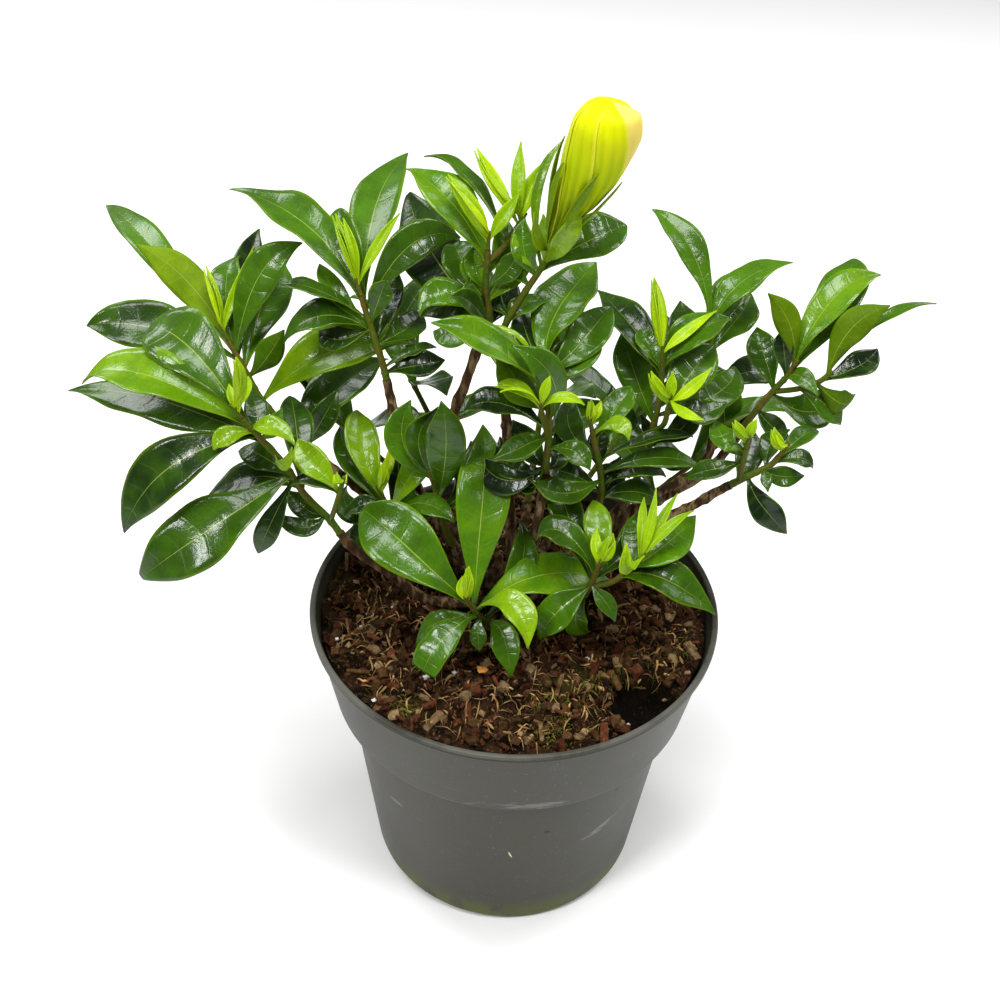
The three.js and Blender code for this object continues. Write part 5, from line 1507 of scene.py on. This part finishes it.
# dark, middle, bright and vein colours, how pale the veins are, roughness and gloss
LEAF = leaf_material(
    "leaf", (8, 30, 0), (72, 117, 0), (126, 164, 0), (176, 198, 84), 0.02, 0.4, 0.6, bump=0.6
)
LEAF_UNDER = leaf_material(
    "leaf_underside", (54, 86, 2), (84, 112, 4), (118, 146, 14), (150, 170, 70), 0.08, 0.5, 0.0
)
YOUNG_LEAF = leaf_material(
    "young_leaf", (80, 124, 0), (140, 176, 4), (182, 206, 10), (206, 222, 84), 0.1, 0.3, 0.2, glow=0.06
)
SEPAL = leaf_material("sepal", (70, 106, 0), (118, 148, 0), (160, 182, 4), (176, 196, 60), 0.1, 0.34, 0.15)
GREEN_STEM = stem_material()
BARK = bark_material()
PETAL = petal_material()
PLASTIC = pot_material()
SOIL = soil_material()
# dark and light colours, scale of the mottling, roughness and bump
RED_CHIP = earth_material("red_bark_chip", (50, 24, 12), (156, 94, 62), 330.0, 0.85, 1.0)
BROWN_CHIP = earth_material("brown_bark_chip", (32, 19, 10), (146, 104, 64), 330.0, 0.9, 1.0)
PALE_CHIP = earth_material("weathered_chip", (110, 80, 50), (200, 168, 120), 330.0, 0.9)
FIBRE = earth_material("fibre", (92, 62, 32), (204, 166, 108), 300.0, 0.8, 0.3)
MOSS = earth_material("moss", (54, 54, 14), (128, 130, 50), 500.0, 0.9, 0.3)
STONE = earth_material("perlite", (176, 172, 160), (236, 234, 226), 400.0, 0.8, 0.4)
DRY_LEAF = earth_material("dry_leaf", (168, 84, 30), (236, 168, 84), 180.0, 0.6, 0.4)


def painted(piece, *materials):
    """Gives a piece its materials, in the order its faces count them."""
    mesh = piece.data
    mesh.materials.clear()
    for one in materials:
        mesh.materials.append(one)
    return piece


# ---------------------------------------------------------------- growing the plant


def solid_blades(blades, name, *materials):
    """Blades joined, rounded off and given their thickness; what lies below has the second material."""
    piece = joined(blades, name)
    rounded(piece)
    painted(piece, *materials)
    finish_with(
        piece, "SOLIDIFY", thickness=BLADE_THICKNESS, offset=0, material_offset=1, material_offset_rim=1
    )
    smooth_faces(piece)
    return piece


def with_parts(piece, parts, paint, name):
    """Joins round parts of one material to a piece of blades."""
    for part in parts:
        smooth_faces(part)
        painted(part, paint)
    return joined([piece, *parts], name)


chance = random.Random(11)
mature = leaf_template("mature_leaf", widest=0.48, fold=0.34, quilt=0.06)
broad = leaf_template("broad_leaf", widest=0.54, fold=0.28, quilt=0.06, point=0.9)
trimmed = leaf_template("trimmed_leaf", widest=0.62, fold=0.25, quilt=0.05, point=0.35)
slender = leaf_template("slender_leaf", widest=0.42, fold=0.55, quilt=0.025)

grown = {}
for plan in SHOOTS:
    grown[plan["name"]] = leafy_shoot(plan, chance)
for plan in BACK_SHOOTS:
    grown[plan["name"]] = leafy_back_shoot(plan, chance)

for name, host in grown.items():
    blades = solid_blades(host["leaves"], name + "_blades", LEAF, LEAF_UNDER)
    shoot_piece = with_parts(blades, green_parts(host), GREEN_STEM, name + "_shoot")
    placed(shoot_piece, "leaf", name + "_leaves")

for plan in NEW_GROWTH:
    tip, *blades = new_growth(plan, grown, chance)
    blades = solid_blades(blades, plan["name"] + "_blades", YOUNG_LEAF, YOUNG_LEAF)
    growth_piece = with_parts(blades, [tip], GREEN_STEM, plan["name"] + "_tip")
    placed(growth_piece, "young_leaf", plan["name"])

# ---------------------------------------------------------------- wood

LIMB_STEPS = 60
LIMB_KNOTS = 7
LIMB_SWELL = 0.3
LIMB_SIDES = 16
CROWN_SIDES = 24
# the crown's outline: mm above the place where the limbs part, and the share of its radius
CROWN_OUTLINE = [(-16, 1), (-8, 1), (-3, 0.98), (0, 0.9), (1.4, 0.7), (2, 0.45)]
RIDGE_DEPTH = 0.35 * MM
RIDGE_SCALE = 420

limbs = []
for host in grown.values():
    line = host["stem"].part(0, host["wood_end"], LIMB_STEPS)
    radii = knobbly(LIMB_STEPS, WOOD_RADIUS, WOOD_TIP_RADIUS, LIMB_KNOTS, LIMB_SWELL, chance)
    limbs.append(tube(line, radii, "limb", sides=LIMB_SIDES))
crown_line = [CROWN + np.array((0, 0, height)) * MM for height, _ in CROWN_OUTLINE]
crown_radii = [CROWN_RADIUS * share for _, share in CROWN_OUTLINE]
limbs.append(tube(crown_line, crown_radii, "crown", sides=CROWN_SIDES))
wood = joined(limbs, "wood")
bark_ridges(wood, RIDGE_DEPTH, RIDGE_SCALE)
smooth_faces(wood)
painted(wood, BARK)
placed(wood, "bark", "woody_stems")

# ---------------------------------------------------------------- flower bud

BUD_AXIS = [(549, 243, 6), (569, 205, 5), (593, 161, 3), (607, 122, 1), (612, 101, 0)]
BUD_RADII = np.array((2, 5.0, 8.2, 10.6, 10.6, 8.0, 0.3)) * MM
BUD_STATIONS = np.array((0, 0.2, 0.42, 0.64, 0.84, 0.96, 1))
BUD_PETALS = 6
# how far a petal winds round the bud from its foot to its tip, as a share of a turn
BUD_TWIST = 0.22
# how many rows there are across and along a petal, and how they crowd towards its tip
PETAL_GRID = (12, 16)
PETAL_CROWDING = 1.5
# where a petal starts under its neighbour and where it ends, as shares of its own place round the bud
PETAL_TUCK = 0.4
PETAL_END = 0.97
# how much further out a petal's free edge lies than its tucked edge, as a share of the bud's radius
PETAL_EDGE = 0.045
PETAL_RIM = 0.05 * MM
PETAL_THICKNESS = 0.46 * MM
PLEATS = 3
PLEAT_DEPTH = 0.4 * MM
# the bearing of the petals that have begun to open, from the side that faces the eye, and how near they are
OPEN_SIDE = math.radians(95)
OPEN_NEARNESS = 0.87
OPEN_SPREAD = 1.6 * MM

bud_path = Path([seen_on_plane(p) for p in BUD_AXIS])


def bud_radius(t):
    """The bud's radius at shares of its length, eased between the stations."""
    t = np.asarray(t, float)
    k = np.clip(np.searchsorted(BUD_STATIONS, t, side="right") - 1, 0, len(BUD_STATIONS) - 2)
    part = smooth(0, 1, (t - BUD_STATIONS[k]) / (BUD_STATIONS[k + 1] - BUD_STATIONS[k]))
    return mix(BUD_RADII[k], BUD_RADII[k + 1], part)


def bud_frame(t):
    """Two ways out of the bud's axis, the first of them towards the eye."""
    along = bud_path.way(float(t))
    sight = unit(EYE - bud_path.at(float(t)))
    first = unit(sight - along * np.dot(sight, along))
    return first, np.cross(along, first)


def bud_point(t, angle, radius):
    first, second = bud_frame(min(max(t, 0), 1))
    return bud_path.at(t) + (first * math.cos(angle) + second * math.sin(angle)) * radius


def petal(index, template):
    """One petal of the rolled bud: a pleated sheet that starts under its neighbour and has a raised edge."""
    mesh = template.data.copy()
    across, along, _ = points_of(mesh).T
    place = mix(-PETAL_TUCK, PETAL_END, 0.5 + 0.5 * across)
    t = 1 - (1 - np.clip(0.5 + 0.5 * along, 0, 1)) ** PETAL_CROWDING
    angles = 2 * np.pi * ((index + place) / BUD_PETALS - BUD_TWIST * t)
    body = np.sin(np.pi * t**0.8)
    pleats = np.cos(2 * np.pi * PLEATS * place)
    edge = smooth(0.72, 1.0, place)
    radius = bud_radius(t) * (1 + PETAL_EDGE * (place - 0.5)) + PETAL_RIM * edge * body
    radius = radius + PLEAT_DEPTH * pleats * body
    middle = 2 * math.pi * ((index + 0.6) / BUD_PETALS - BUD_TWIST * 0.8)
    opened = math.cos(middle - OPEN_SIDE) > OPEN_NEARNESS
    if opened:
        spread = OPEN_SPREAD * smooth(0.4, 0.85, t) * smooth(0.1, 0.8, place)
        radius = radius + spread * (1 - smooth(0.96, 1, t))
    set_points(mesh, np.array([bud_point(h, a, r) for h, a, r in zip(t, angles, radius)]))
    mark(mesh, "height", t)
    # where the painted highlights go: the crests of the pleats and the petal's free edge
    mark(mesh, "pleat_highlight", 0.5 + 0.5 * pleats)
    mark(mesh, "petal_edge_highlight", smooth(0.86, 1.0, place))
    mark(mesh, "opened", smooth(0.4, 0.62, t) if opened else 0.0)
    return object_from(mesh, "petal")


let_go()
bpy.ops.mesh.primitive_grid_add(x_subdivisions=PETAL_GRID[0], y_subdivisions=PETAL_GRID[1], size=2)
petal_sheet = bpy.context.object
bud = joined([petal(k, petal_sheet) for k in range(BUD_PETALS)], "bud_petals")
rounded(bud)
painted(bud, PETAL)
finish_with(bud, "SOLIDIFY", thickness=PETAL_THICKNESS, offset=-1)
smooth_faces(bud)
placed(bud, "petal", "flower_bud")

# ---------------------------------------------------------------- calyx

CUP_RADIUS = 2 * MM
CUP_STEPS = 8
CUP_SIDES = 16
CUP_BULGE = 0.1
CUP_BULGE_ENDS = 3.1
SEPALS = 6
# where the longer and the shorter sepals end, and where each of them is held, as shares of the bud's length
SEPAL_REACHES = (0.66, 0.6)
SEPAL_HELD = 0.55
SEPAL_TURN = 0.25
SEPAL_WIDTH = 3.3 * MM
SEPAL_FOOT = 2 * MM
SEPAL_ROOT_RADIUS = 1.2 * MM
SEPAL_ROOT_DEPTH = 0.04
SEPAL_CLEARANCE = 0.9 * MM
SEPAL_LEAN = 1.2
SEPAL_CURL = 0.3
SEPAL_TONES = (0.3, 0.8)
CALYX_LEAF = leaf(None, (535, 238), (534, 212), -20, 5, 40)
CALYX_LEAF_CURL = 0.5

cup_end, bud_foot = grown["flower_shoot"]["stem"].at(1.0), bud_path.at(0.0)
cup_way = unit(bud_foot - cup_end)
cup_start, cup_top = cup_end + cup_way * GAP, bud_foot - cup_way * 2 * GAP
cup_shares = np.linspace(0, 1, CUP_STEPS)
cup_line = [mix(cup_start, cup_top, t) for t in cup_shares]
cup_radii = [
    mix(GREEN_TIP_RADIUS, CUP_RADIUS, t) * (1 + CUP_BULGE * math.sin(t * CUP_BULGE_ENDS)) for t in cup_shares
]
cup = tube(cup_line, cup_radii, "cup", sides=CUP_SIDES)


def sepal(index):
    """A long narrow sepal that stands up against the bud, and leans away from it towards its tip."""
    angle = 2 * math.pi * (index + SEPAL_TURN) / SEPALS
    reach = SEPAL_REACHES[index % 2]
    root = bud_point(0, angle, SEPAL_ROOT_RADIUS) - cup_way * SEPAL_ROOT_DEPTH * bud_path.length

    def beside(t, clearance):
        return bud_point(t, angle, float(bud_radius(t)) * (1 + PETAL_EDGE / 2) + clearance)

    held = reach * SEPAL_HELD
    middle = beside(held, SEPAL_CLEARANCE)
    tip = beside(reach, SEPAL_LEAN * SEPAL_CLEARANCE)
    first, second = bud_frame(held)
    face = first * math.cos(angle) + second * math.sin(angle)
    tone = chance.uniform(*SEPAL_TONES)
    curl = curl_of(chance, SEPAL_CURL)
    return blade(slender, root, middle, tip, face, SEPAL_WIDTH, curl, SEPAL_FOOT, tone)


sepals = [sepal(k) for k in range(SEPALS)]
calyx_root = mix(cup_start, cup_top, 0.5)
sepals.append(seen_leaf(slender, CALYX_LEAF, calyx_root, curl_of(chance, CALYX_LEAF_CURL), YOUNG_PETIOLE))
calyx = solid_blades(sepals, "calyx_blades", SEPAL, SEPAL)
calyx = with_parts(calyx, [cup], SEPAL, "calyx")
placed(calyx, "sepal", "flower_calyx")

# ---------------------------------------------------------------- pot

# points nearer than this are the same point
SAME = 1e-6
ROUNDING_STEPS = 4
POT_STEPS = 144
# the groove round the pot's base: where it starts, the two sides of its bed, and how deep it is
GROOVE_START = 52 * MM
GROOVE_BED = (53.5 * MM, 56.5 * MM)
GROOVE_DEPTH = 1.2 * MM
LIP_EDGE = 2.3 * MM
LIP_SLOPE = 0.5 * MM
HOLE_SIDES = 32
# edges sharper than this, in degrees, stay sharp
POT_CREASE = 35
STEP_FOOT = COLLAR_FOOT_HEIGHT - COLLAR_STEP_DROP
LIP_FOOT = POT_HEIGHT - RIM_LIP_DEPTH


def wall_radius(z):
    """The pot's outer radius at a height of its collar."""
    t = (z - COLLAR_FOOT_HEIGHT) / (POT_HEIGHT - COLLAR_FOOT_HEIGHT)
    return mix(COLLAR_FOOT_RADIUS, RIM_RADIUS - LIP_OVERHANG, t)


def spun(outline, name, steps):
    """An outline of (radius, height, rounding) corners, rounded and spun about the pot's axis."""
    mesh = bpy.data.meshes.new(name)
    corners = [(radius, 0, height) for radius, height, _ in outline]
    mesh.from_pydata(corners, [(k, k + 1) for k in range(len(corners) - 1)], [])
    piece = object_from(mesh, name)
    hold(piece)
    for radius, height, rounding in outline:
        if rounding:
            place = Vector((radius, 0, height))
            pick(piece, lambda co, place=place: (co - place).length < SAME)
            bpy.ops.mesh.bevel(offset=rounding, segments=ROUNDING_STEPS, affect="VERTICES")
    open_all()
    bpy.ops.mesh.spin(steps=steps, angle=2 * math.pi, center=(0, 0, 0), axis=(0, 0, 1))
    bpy.ops.mesh.select_all(action="SELECT")
    bpy.ops.mesh.remove_doubles(threshold=SAME)
    bpy.ops.mesh.normals_make_consistent(inside=False)
    close()
    return piece


# the pot's outline, from the middle of its base up its outside and down its inside to the middle of its floor
POT_OUTLINE = [
    (0, 0, 0),
    (GROOVE_START, 0, 0.8 * MM),
    (GROOVE_BED[0], GROOVE_DEPTH, 0.5 * MM),
    (GROOVE_BED[1], GROOVE_DEPTH, 0.5 * MM),
    (BASE_RADIUS - BASE_EDGE, 0, 0.9 * MM),
    (BASE_RADIUS, BASE_EDGE, 1.6 * MM),
    (BODY_TOP_RADIUS, STEP_FOOT, 0.8 * MM),
    (COLLAR_FOOT_RADIUS, COLLAR_FOOT_HEIGHT, 1.4 * MM),
    (wall_radius(LIP_FOOT), LIP_FOOT, 0.5 * MM),
    (RIM_RADIUS, LIP_FOOT + LIP_SLOPE, 0.9 * MM),
    (RIM_RADIUS, POT_HEIGHT, 0.8 * MM),
    (RIM_RADIUS - LIP_EDGE, POT_HEIGHT, 0.8 * MM),
    (COLLAR_FOOT_RADIUS - WALL, COLLAR_FOOT_HEIGHT + WALL, 1.0 * MM),
    (BODY_TOP_RADIUS - WALL, STEP_FOOT, 1.0 * MM),
    (BASE_RADIUS - WALL, FLOOR, 1.5 * MM),
    (0, FLOOR, 0),
]
pot = spun(POT_OUTLINE, "nursery_pot", POT_STEPS)
drills = []
for k in range(DRAIN_HOLES):
    angle = 2 * math.pi * (k + 0.5) / DRAIN_HOLES
    place = (DRAIN_HOLE_CIRCLE * math.cos(angle), DRAIN_HOLE_CIRCLE * math.sin(angle), FLOOR / 2)
    let_go()
    bpy.ops.mesh.primitive_cylinder_add(
        vertices=HOLE_SIDES, radius=DRAIN_HOLE_RADIUS, depth=FLOOR * 3, location=place
    )
    bpy.ops.object.transform_apply(location=True, rotation=True, scale=True)
    drills.append(bpy.context.object)
drill = joined(drills, "drill")
finish_with(pot, "BOOLEAN", operation="DIFFERENCE", object=drill, solver="EXACT")
bpy.data.objects.remove(drill)
smooth_faces(pot, POT_CREASE)
painted(pot, PLASTIC)
placed(pot, "pot_plastic", "pot")

# ---------------------------------------------------------------- soil

SOIL_EDGE = 80.5 * MM
SOIL_BOTTOM = FLOOR + GAP
# how far the soil's side lies inside the pot's outside
SOIL_INSET = WALL + 0.5 * MM
SOIL_STEPS = 200
SOIL_RINGS = 80
DIP_REACH = 22 * MM
DIP_DEPTH = 3.4 * MM
SURFACE_RISE = 1.4 * MM
# the soil's lumps, crumbs and grit: how high they are, how close together, and their layer of the noise
ROUGHNESS = [(3.2 * MM, 55, 3.1), (3.0 * MM, 200, 7.7), (1.2 * MM, 520, 1.9)]


def ground(x, y):
    """The height of the soil at a place."""
    level = SOIL_LEVEL + SURFACE_RISE
    for height, scale, layer in ROUGHNESS:
        level += height * noise.noise(Vector((x * scale, y * scale, layer)))
    dip = DIP_DEPTH * max(0, 1 - math.hypot(x, y) / DIP_REACH)
    away = math.hypot(x - HOLLOW[0], y - HOLLOW[1]) / HOLLOW_RADIUS
    hollow = HOLLOW_DEPTH * max(0, 1 - away**2)
    return level - dip - hollow


soil = spun(
    [
        (0, SOIL_BOTTOM, 0),
        (BASE_RADIUS - SOIL_INSET, SOIL_BOTTOM, 0),
        (BODY_TOP_RADIUS - SOIL_INSET, STEP_FOOT, 0),
        (COLLAR_FOOT_RADIUS - SOIL_INSET, COLLAR_FOOT_HEIGHT + WALL, 0),
        *[(SOIL_EDGE * k / SOIL_RINGS, SOIL_LEVEL, 0) for k in range(SOIL_RINGS, -1, -1)],
    ],
    "potting_mix",
    SOIL_STEPS,
)
heights = points_of(soil.data)
on_top = heights[:, 2] > SOIL_LEVEL - 0.1 * MM
heights[on_top, 2] = [ground(x, y) for x, y, _ in heights[on_top]]
set_points(soil.data, heights)
smooth_faces(soil)
mark(soil.data, "tone", 0.5)
painted(soil, SOIL)
placed(soil, "potting_soil", "soil")

# ---------------------------------------------------------------- what lies on the soil


def lump_template(name, size, strength, seed):
    """A cube subdivided, rounded and knocked out of shape."""
    let_go()
    bpy.ops.mesh.primitive_cube_add(size=1)
    piece = bpy.context.object
    piece.name = name
    open_all()
    bpy.ops.mesh.subdivide(number_cuts=2)
    bpy.ops.transform.resize(value=[side * MM for side in size])
    bpy.ops.mesh.vertices_smooth(factor=0.35)
    bpy.ops.transform.vertex_random(offset=strength * MM, seed=seed)
    close()
    return piece


def strewn(template, place, turn, lean, size, sink, tone):
    """A copy of a template that lies on the soil, turned, leant and sunk into it."""
    mesh = template.data.copy()
    co = points_of(mesh) * size
    about_y = np.array(((math.cos(lean), 0, math.sin(lean)), (0, 1, 0), (-math.sin(lean), 0, math.cos(lean))))
    about_z = np.array(((math.cos(turn), -math.sin(turn), 0), (math.sin(turn), math.cos(turn), 0), (0, 0, 1)))
    height = ground(*place) + sink
    set_points(mesh, co @ about_y.T @ about_z.T + np.array((place[0], place[1], height)))
    mark(mesh, "tone", tone)
    return object_from(mesh, "strewn")


def in_hollow(x, y):
    return math.hypot(x - HOLLOW[0], y - HOLLOW[1]) < 0.75 * HOLLOW_RADIUS


def somewhere(chance, margin):
    """A random place on the soil, at least a margin inside its edge."""
    angle = chance.uniform(0, 2 * math.pi)
    radius = (SOIL_EDGE - margin) * math.sqrt(chance.uniform(0, 1))
    return radius * math.cos(angle), radius * math.sin(angle)


def on_soil_at(across, down):
    """The place on the soil that is seen at a point of the picture."""
    line = sight_line(across, down)
    point = EYE + line * (SOIL_LEVEL - EYE[2]) / line[2]
    return float(point[0]), float(point[1])


def on_soil(pieces, name, paint, angle=None):
    piece = joined(pieces, name)
    smooth_faces(piece, angle)
    painted(piece, paint)
    placed(piece, "potting_soil", "soil")


CHIPS = 1700
CHIP_CREASE = 40
CHIP_MARGIN = 2.5 * MM
CHIP_LEAN = 0.6
CHIP_SIZES = (0.28, 1.0)
# how much likelier small chips are, and the size of the largest
CHIP_SMALLER = 1.3
CHIP_LARGEST = 1.1
# the middle and the spread of the chips' tones
CHIP_TONES = (0.3, 0.42)
CHIP_SINKS = (-0.3, 1.5)

chance = random.Random(5)
# length, width and height in mm, how far its points stray in mm, and a seed
chip_kinds = [
    lump_template("sliver", (6.5, 1.1, 0.8), 0.25, 7),
    lump_template("long_chip", (8.4, 3.0, 1.8), 0.45, 1),
    lump_template("flat_chip", (6.0, 4.6, 1.2), 0.45, 2),
    lump_template("blunt_chip", (4.4, 3.6, 3.0), 0.5, 3),
    lump_template("splinter", (9.5, 1.5, 1.0), 0.3, 4),
]
red_chips, brown_chips, pale_chips = [], [], []
for _ in range(CHIPS):
    place = somewhere(chance, CHIP_MARGIN)
    if in_hollow(*place):
        continue
    lean = chance.gauss(0, CHIP_LEAN)
    size = chance.uniform(*CHIP_SIZES) ** CHIP_SMALLER * CHIP_LARGEST
    tone = min(1.0, max(0.0, chance.gauss(*CHIP_TONES)))
    turn = chance.uniform(0, 2 * math.pi)
    heap = chance.choice((red_chips, red_chips, brown_chips, brown_chips, brown_chips, pale_chips))
    sink = chance.uniform(*CHIP_SINKS) * MM
    heap.append(strewn(chance.choice(chip_kinds), place, turn, lean, size, sink, tone))
on_soil(red_chips, "red_bark_chips", RED_CHIP, CHIP_CREASE)
on_soil(brown_chips, "brown_bark_chips", BROWN_CHIP, CHIP_CREASE)
on_soil(pale_chips, "weathered_chips", PALE_CHIP, CHIP_CREASE)

# where single stones are seen in the picture, and what the smaller ones are that lie about
SEEN_STONES = [(433, 652), (491, 652), (454, 680), (426, 683), (588, 661), (630, 711), (374, 705)]
SEEN_STONE_SIZES = (0.7, 1.1)
STONES = 16
STONE_SIZES = (0.35, 0.7)
STONE_TONES = (0.2, 0.8)
STONE_MARGIN = 4 * MM
STONE_LIFT = 0.8 * MM
DRY_LEAF_SEEN = (486, 674)
DRY_LEAF_LIFT = 1.2 * MM

pebble = lump_template("pebble", (2.0, 1.8, 1.4), 0.2, 5)
stones = []
for seen in SEEN_STONES:
    size = chance.uniform(*SEEN_STONE_SIZES)
    stones.append(strewn(pebble, on_soil_at(*seen), 0.7, 0.2, size, STONE_LIFT, 0.6))
for _ in range(STONES):
    place = somewhere(chance, STONE_MARGIN)
    size = chance.uniform(*STONE_SIZES)
    stones.append(strewn(pebble, place, 0.3, 0.1, size, STONE_LIFT, chance.uniform(*STONE_TONES)))
on_soil(stones, "perlite", STONE)

dry = lump_template("dry_leaf", (7.5, 3.8, 0.6), 0.35, 6)
dry_leaf = strewn(dry, on_soil_at(*DRY_LEAF_SEEN), 0.35, 0.12, 1.0, DRY_LEAF_LIFT, 0.6)
on_soil([dry_leaf], "dry_leaf_chip", DRY_LEAF, CHIP_CREASE)

THREAD_STEPS = 5
THREAD_BEND = 0.9
# how thick a thread is in the middle, as a share of its radius, and how it thins towards its ends
THREAD_THICK = 1.2
THREAD_TAPER = 1.6
THREAD_ARCH = 4
THREAD_LIFT = 0.6 * MM
THREAD_MARGIN = 1.5 * MM

let_go()
bpy.ops.mesh.primitive_cylinder_add(vertices=4, radius=1, depth=1)
thread_kind = bpy.context.object
open_all()
bpy.ops.transform.rotate(value=math.pi / 2, orient_axis="Y", center_override=(0, 0, 0))
for cut in range(1, THREAD_STEPS):
    bpy.ops.mesh.select_all(action="SELECT")
    bpy.ops.mesh.bisect(plane_co=(cut / THREAD_STEPS - 0.5, 0, 0), plane_no=(1, 0, 0))
close()


def thread(x, y, reach, radius, arch, chance):
    """A thin thread that lies bent on the soil: a copy of the straight one."""
    mesh = thread_kind.data.copy()
    t, side, up = points_of(mesh).T
    turn = chance.uniform(0, 2 * math.pi)
    bend = chance.uniform(-THREAD_BEND, THREAD_BEND)
    thin = radius * (THREAD_THICK - THREAD_TAPER * np.abs(t))
    aside = bend * reach * t * t + side * thin
    px = x + reach * t * math.cos(turn) - aside * math.sin(turn)
    py = y + reach * t * math.sin(turn) + aside * math.cos(turn)
    inside = np.minimum(1, (SOIL_EDGE - THREAD_MARGIN) / np.maximum(np.hypot(px, py), MM))
    px, py = px * inside, py * inside
    level = np.array([ground(*p) for p in zip(px, py)])
    pz = level + arch * np.cos(THREAD_ARCH * t) + up * thin + THREAD_LIFT
    set_points(mesh, np.stack((px, py, pz), axis=-1))
    mark(mesh, "tone", chance.uniform(0, 1))
    return object_from(mesh, "thread")


# lengths, radii and heights in mm
FIBRES = 1150
FIBRE_MARGIN = 6 * MM
FIBRE_LENGTHS = (2, 9)
FIBRE_RADII = (0.12, 0.15, 0.2, 0.3, 0.45)
FIBRE_ARCHES = (0.4, 1.8)

fibres = []
for _ in range(FIBRES):
    x, y = somewhere(chance, FIBRE_MARGIN)
    if in_hollow(x, y):
        continue
    reach, radius = chance.uniform(*FIBRE_LENGTHS) * MM, chance.choice(FIBRE_RADII) * MM
    fibres.append(thread(x, y, reach, radius, chance.uniform(*FIBRE_ARCHES) * MM, chance))
on_soil(fibres, "fibres", FIBRE)

# patches of moss: where they are seen in the picture, and how far they spread in mm
MOSS_PATCHES = [(402, 712, 7), (645, 672, 13), (690, 655, 8), (560, 700, 9), (600, 690, 9), (560, 735, 9)]
MOSS_THREADS = 420
MOSS_SPREAD = 0.6
MOSS_MARGIN = 3 * MM
MOSS_LENGTHS = (1.5, 4)
MOSS_RADII = (0.1, 0.2)
MOSS_ARCHES = (0.5, 2)

threads = []
for _ in range(MOSS_THREADS):
    across, down, spread = chance.choice(MOSS_PATCHES)
    x, y = on_soil_at(across, down)
    x += chance.gauss(0, MOSS_SPREAD) * spread * MM
    y += chance.gauss(0, MOSS_SPREAD) * spread * MM
    if math.hypot(x, y) < SOIL_EDGE - MOSS_MARGIN and not in_hollow(x, y):
        reach, radius = chance.uniform(*MOSS_LENGTHS) * MM, chance.uniform(*MOSS_RADII) * MM
        threads.append(thread(x, y, reach, radius, chance.uniform(*MOSS_ARCHES) * MM, chance))
on_soil(threads, "moss", MOSS)

# ---------------------------------------------------------------- templates away, floor, light, camera

for spare in [mature, broad, trimmed, slender, petal_sheet, pebble, dry, thread_kind, *chip_kinds]:
    bpy.data.objects.remove(spare)

FLOOR_SIZE = 12
# the place that the lights face
SUBJECT = Vector((0, 0, 0.18))
# each light's name, place, size in metres and power in watts
LIGHTS = [
    ("overhead", (0.0, -0.1, 1.9), 0.8, 27),
    ("front_left", (-0.8, -0.8, 1.5), 0.4, 16),
    ("front_right", (0.75, -0.6, 1.7), 0.35, 12),
    ("back_left", (-1.05, 1.05, 1.15), 0.7, 11),
    ("back_right", (1.15, 0.9, 1.1), 0.7, 9),
]
SKY_STRENGTH = 0.16
NEAREST_SEEN = 0.01

let_go()
bpy.ops.mesh.primitive_plane_add(size=FLOOR_SIZE)
floor = bpy.context.object
floor.name = "floor"
painted(floor, floor_material())

for name, place, size, power in LIGHTS:
    lamp = bpy.data.lights.new(name, "AREA")
    lamp.shape = "SQUARE"
    lamp.size = size
    lamp.energy = power
    holder = object_from(lamp, name)
    holder.location = place
    holder.rotation_euler = (SUBJECT - Vector(place)).to_track_quat("-Z", "Y").to_euler()

world = bpy.data.worlds.new("studio")
bpy.context.scene.world = world
world.use_nodes = True
sky = world.node_tree.nodes["Background"]
sky.inputs["Color"].default_value = (1, 1, 1, 1)
sky.inputs["Strength"].default_value = SKY_STRENGTH

lens = bpy.data.cameras.new("camera")
lens.sensor_width = SENSOR
lens.lens = SENSOR * FOCAL / PICTURE_SIZE
lens.clip_start = NEAREST_SEEN
camera = object_from(lens, "camera")
camera.location = Vector(EYE)
camera.rotation_mode = "QUATERNION"
tilt = Quaternion((1, 0, 0), math.radians(90) - LOOK_DOWN)
camera.rotation_quaternion = tilt @ Quaternion((0, 0, 1), HEAD_TILT)
bpy.context.scene.camera = camera
bpy.context.scene.view_settings.view_transform = "Standard"
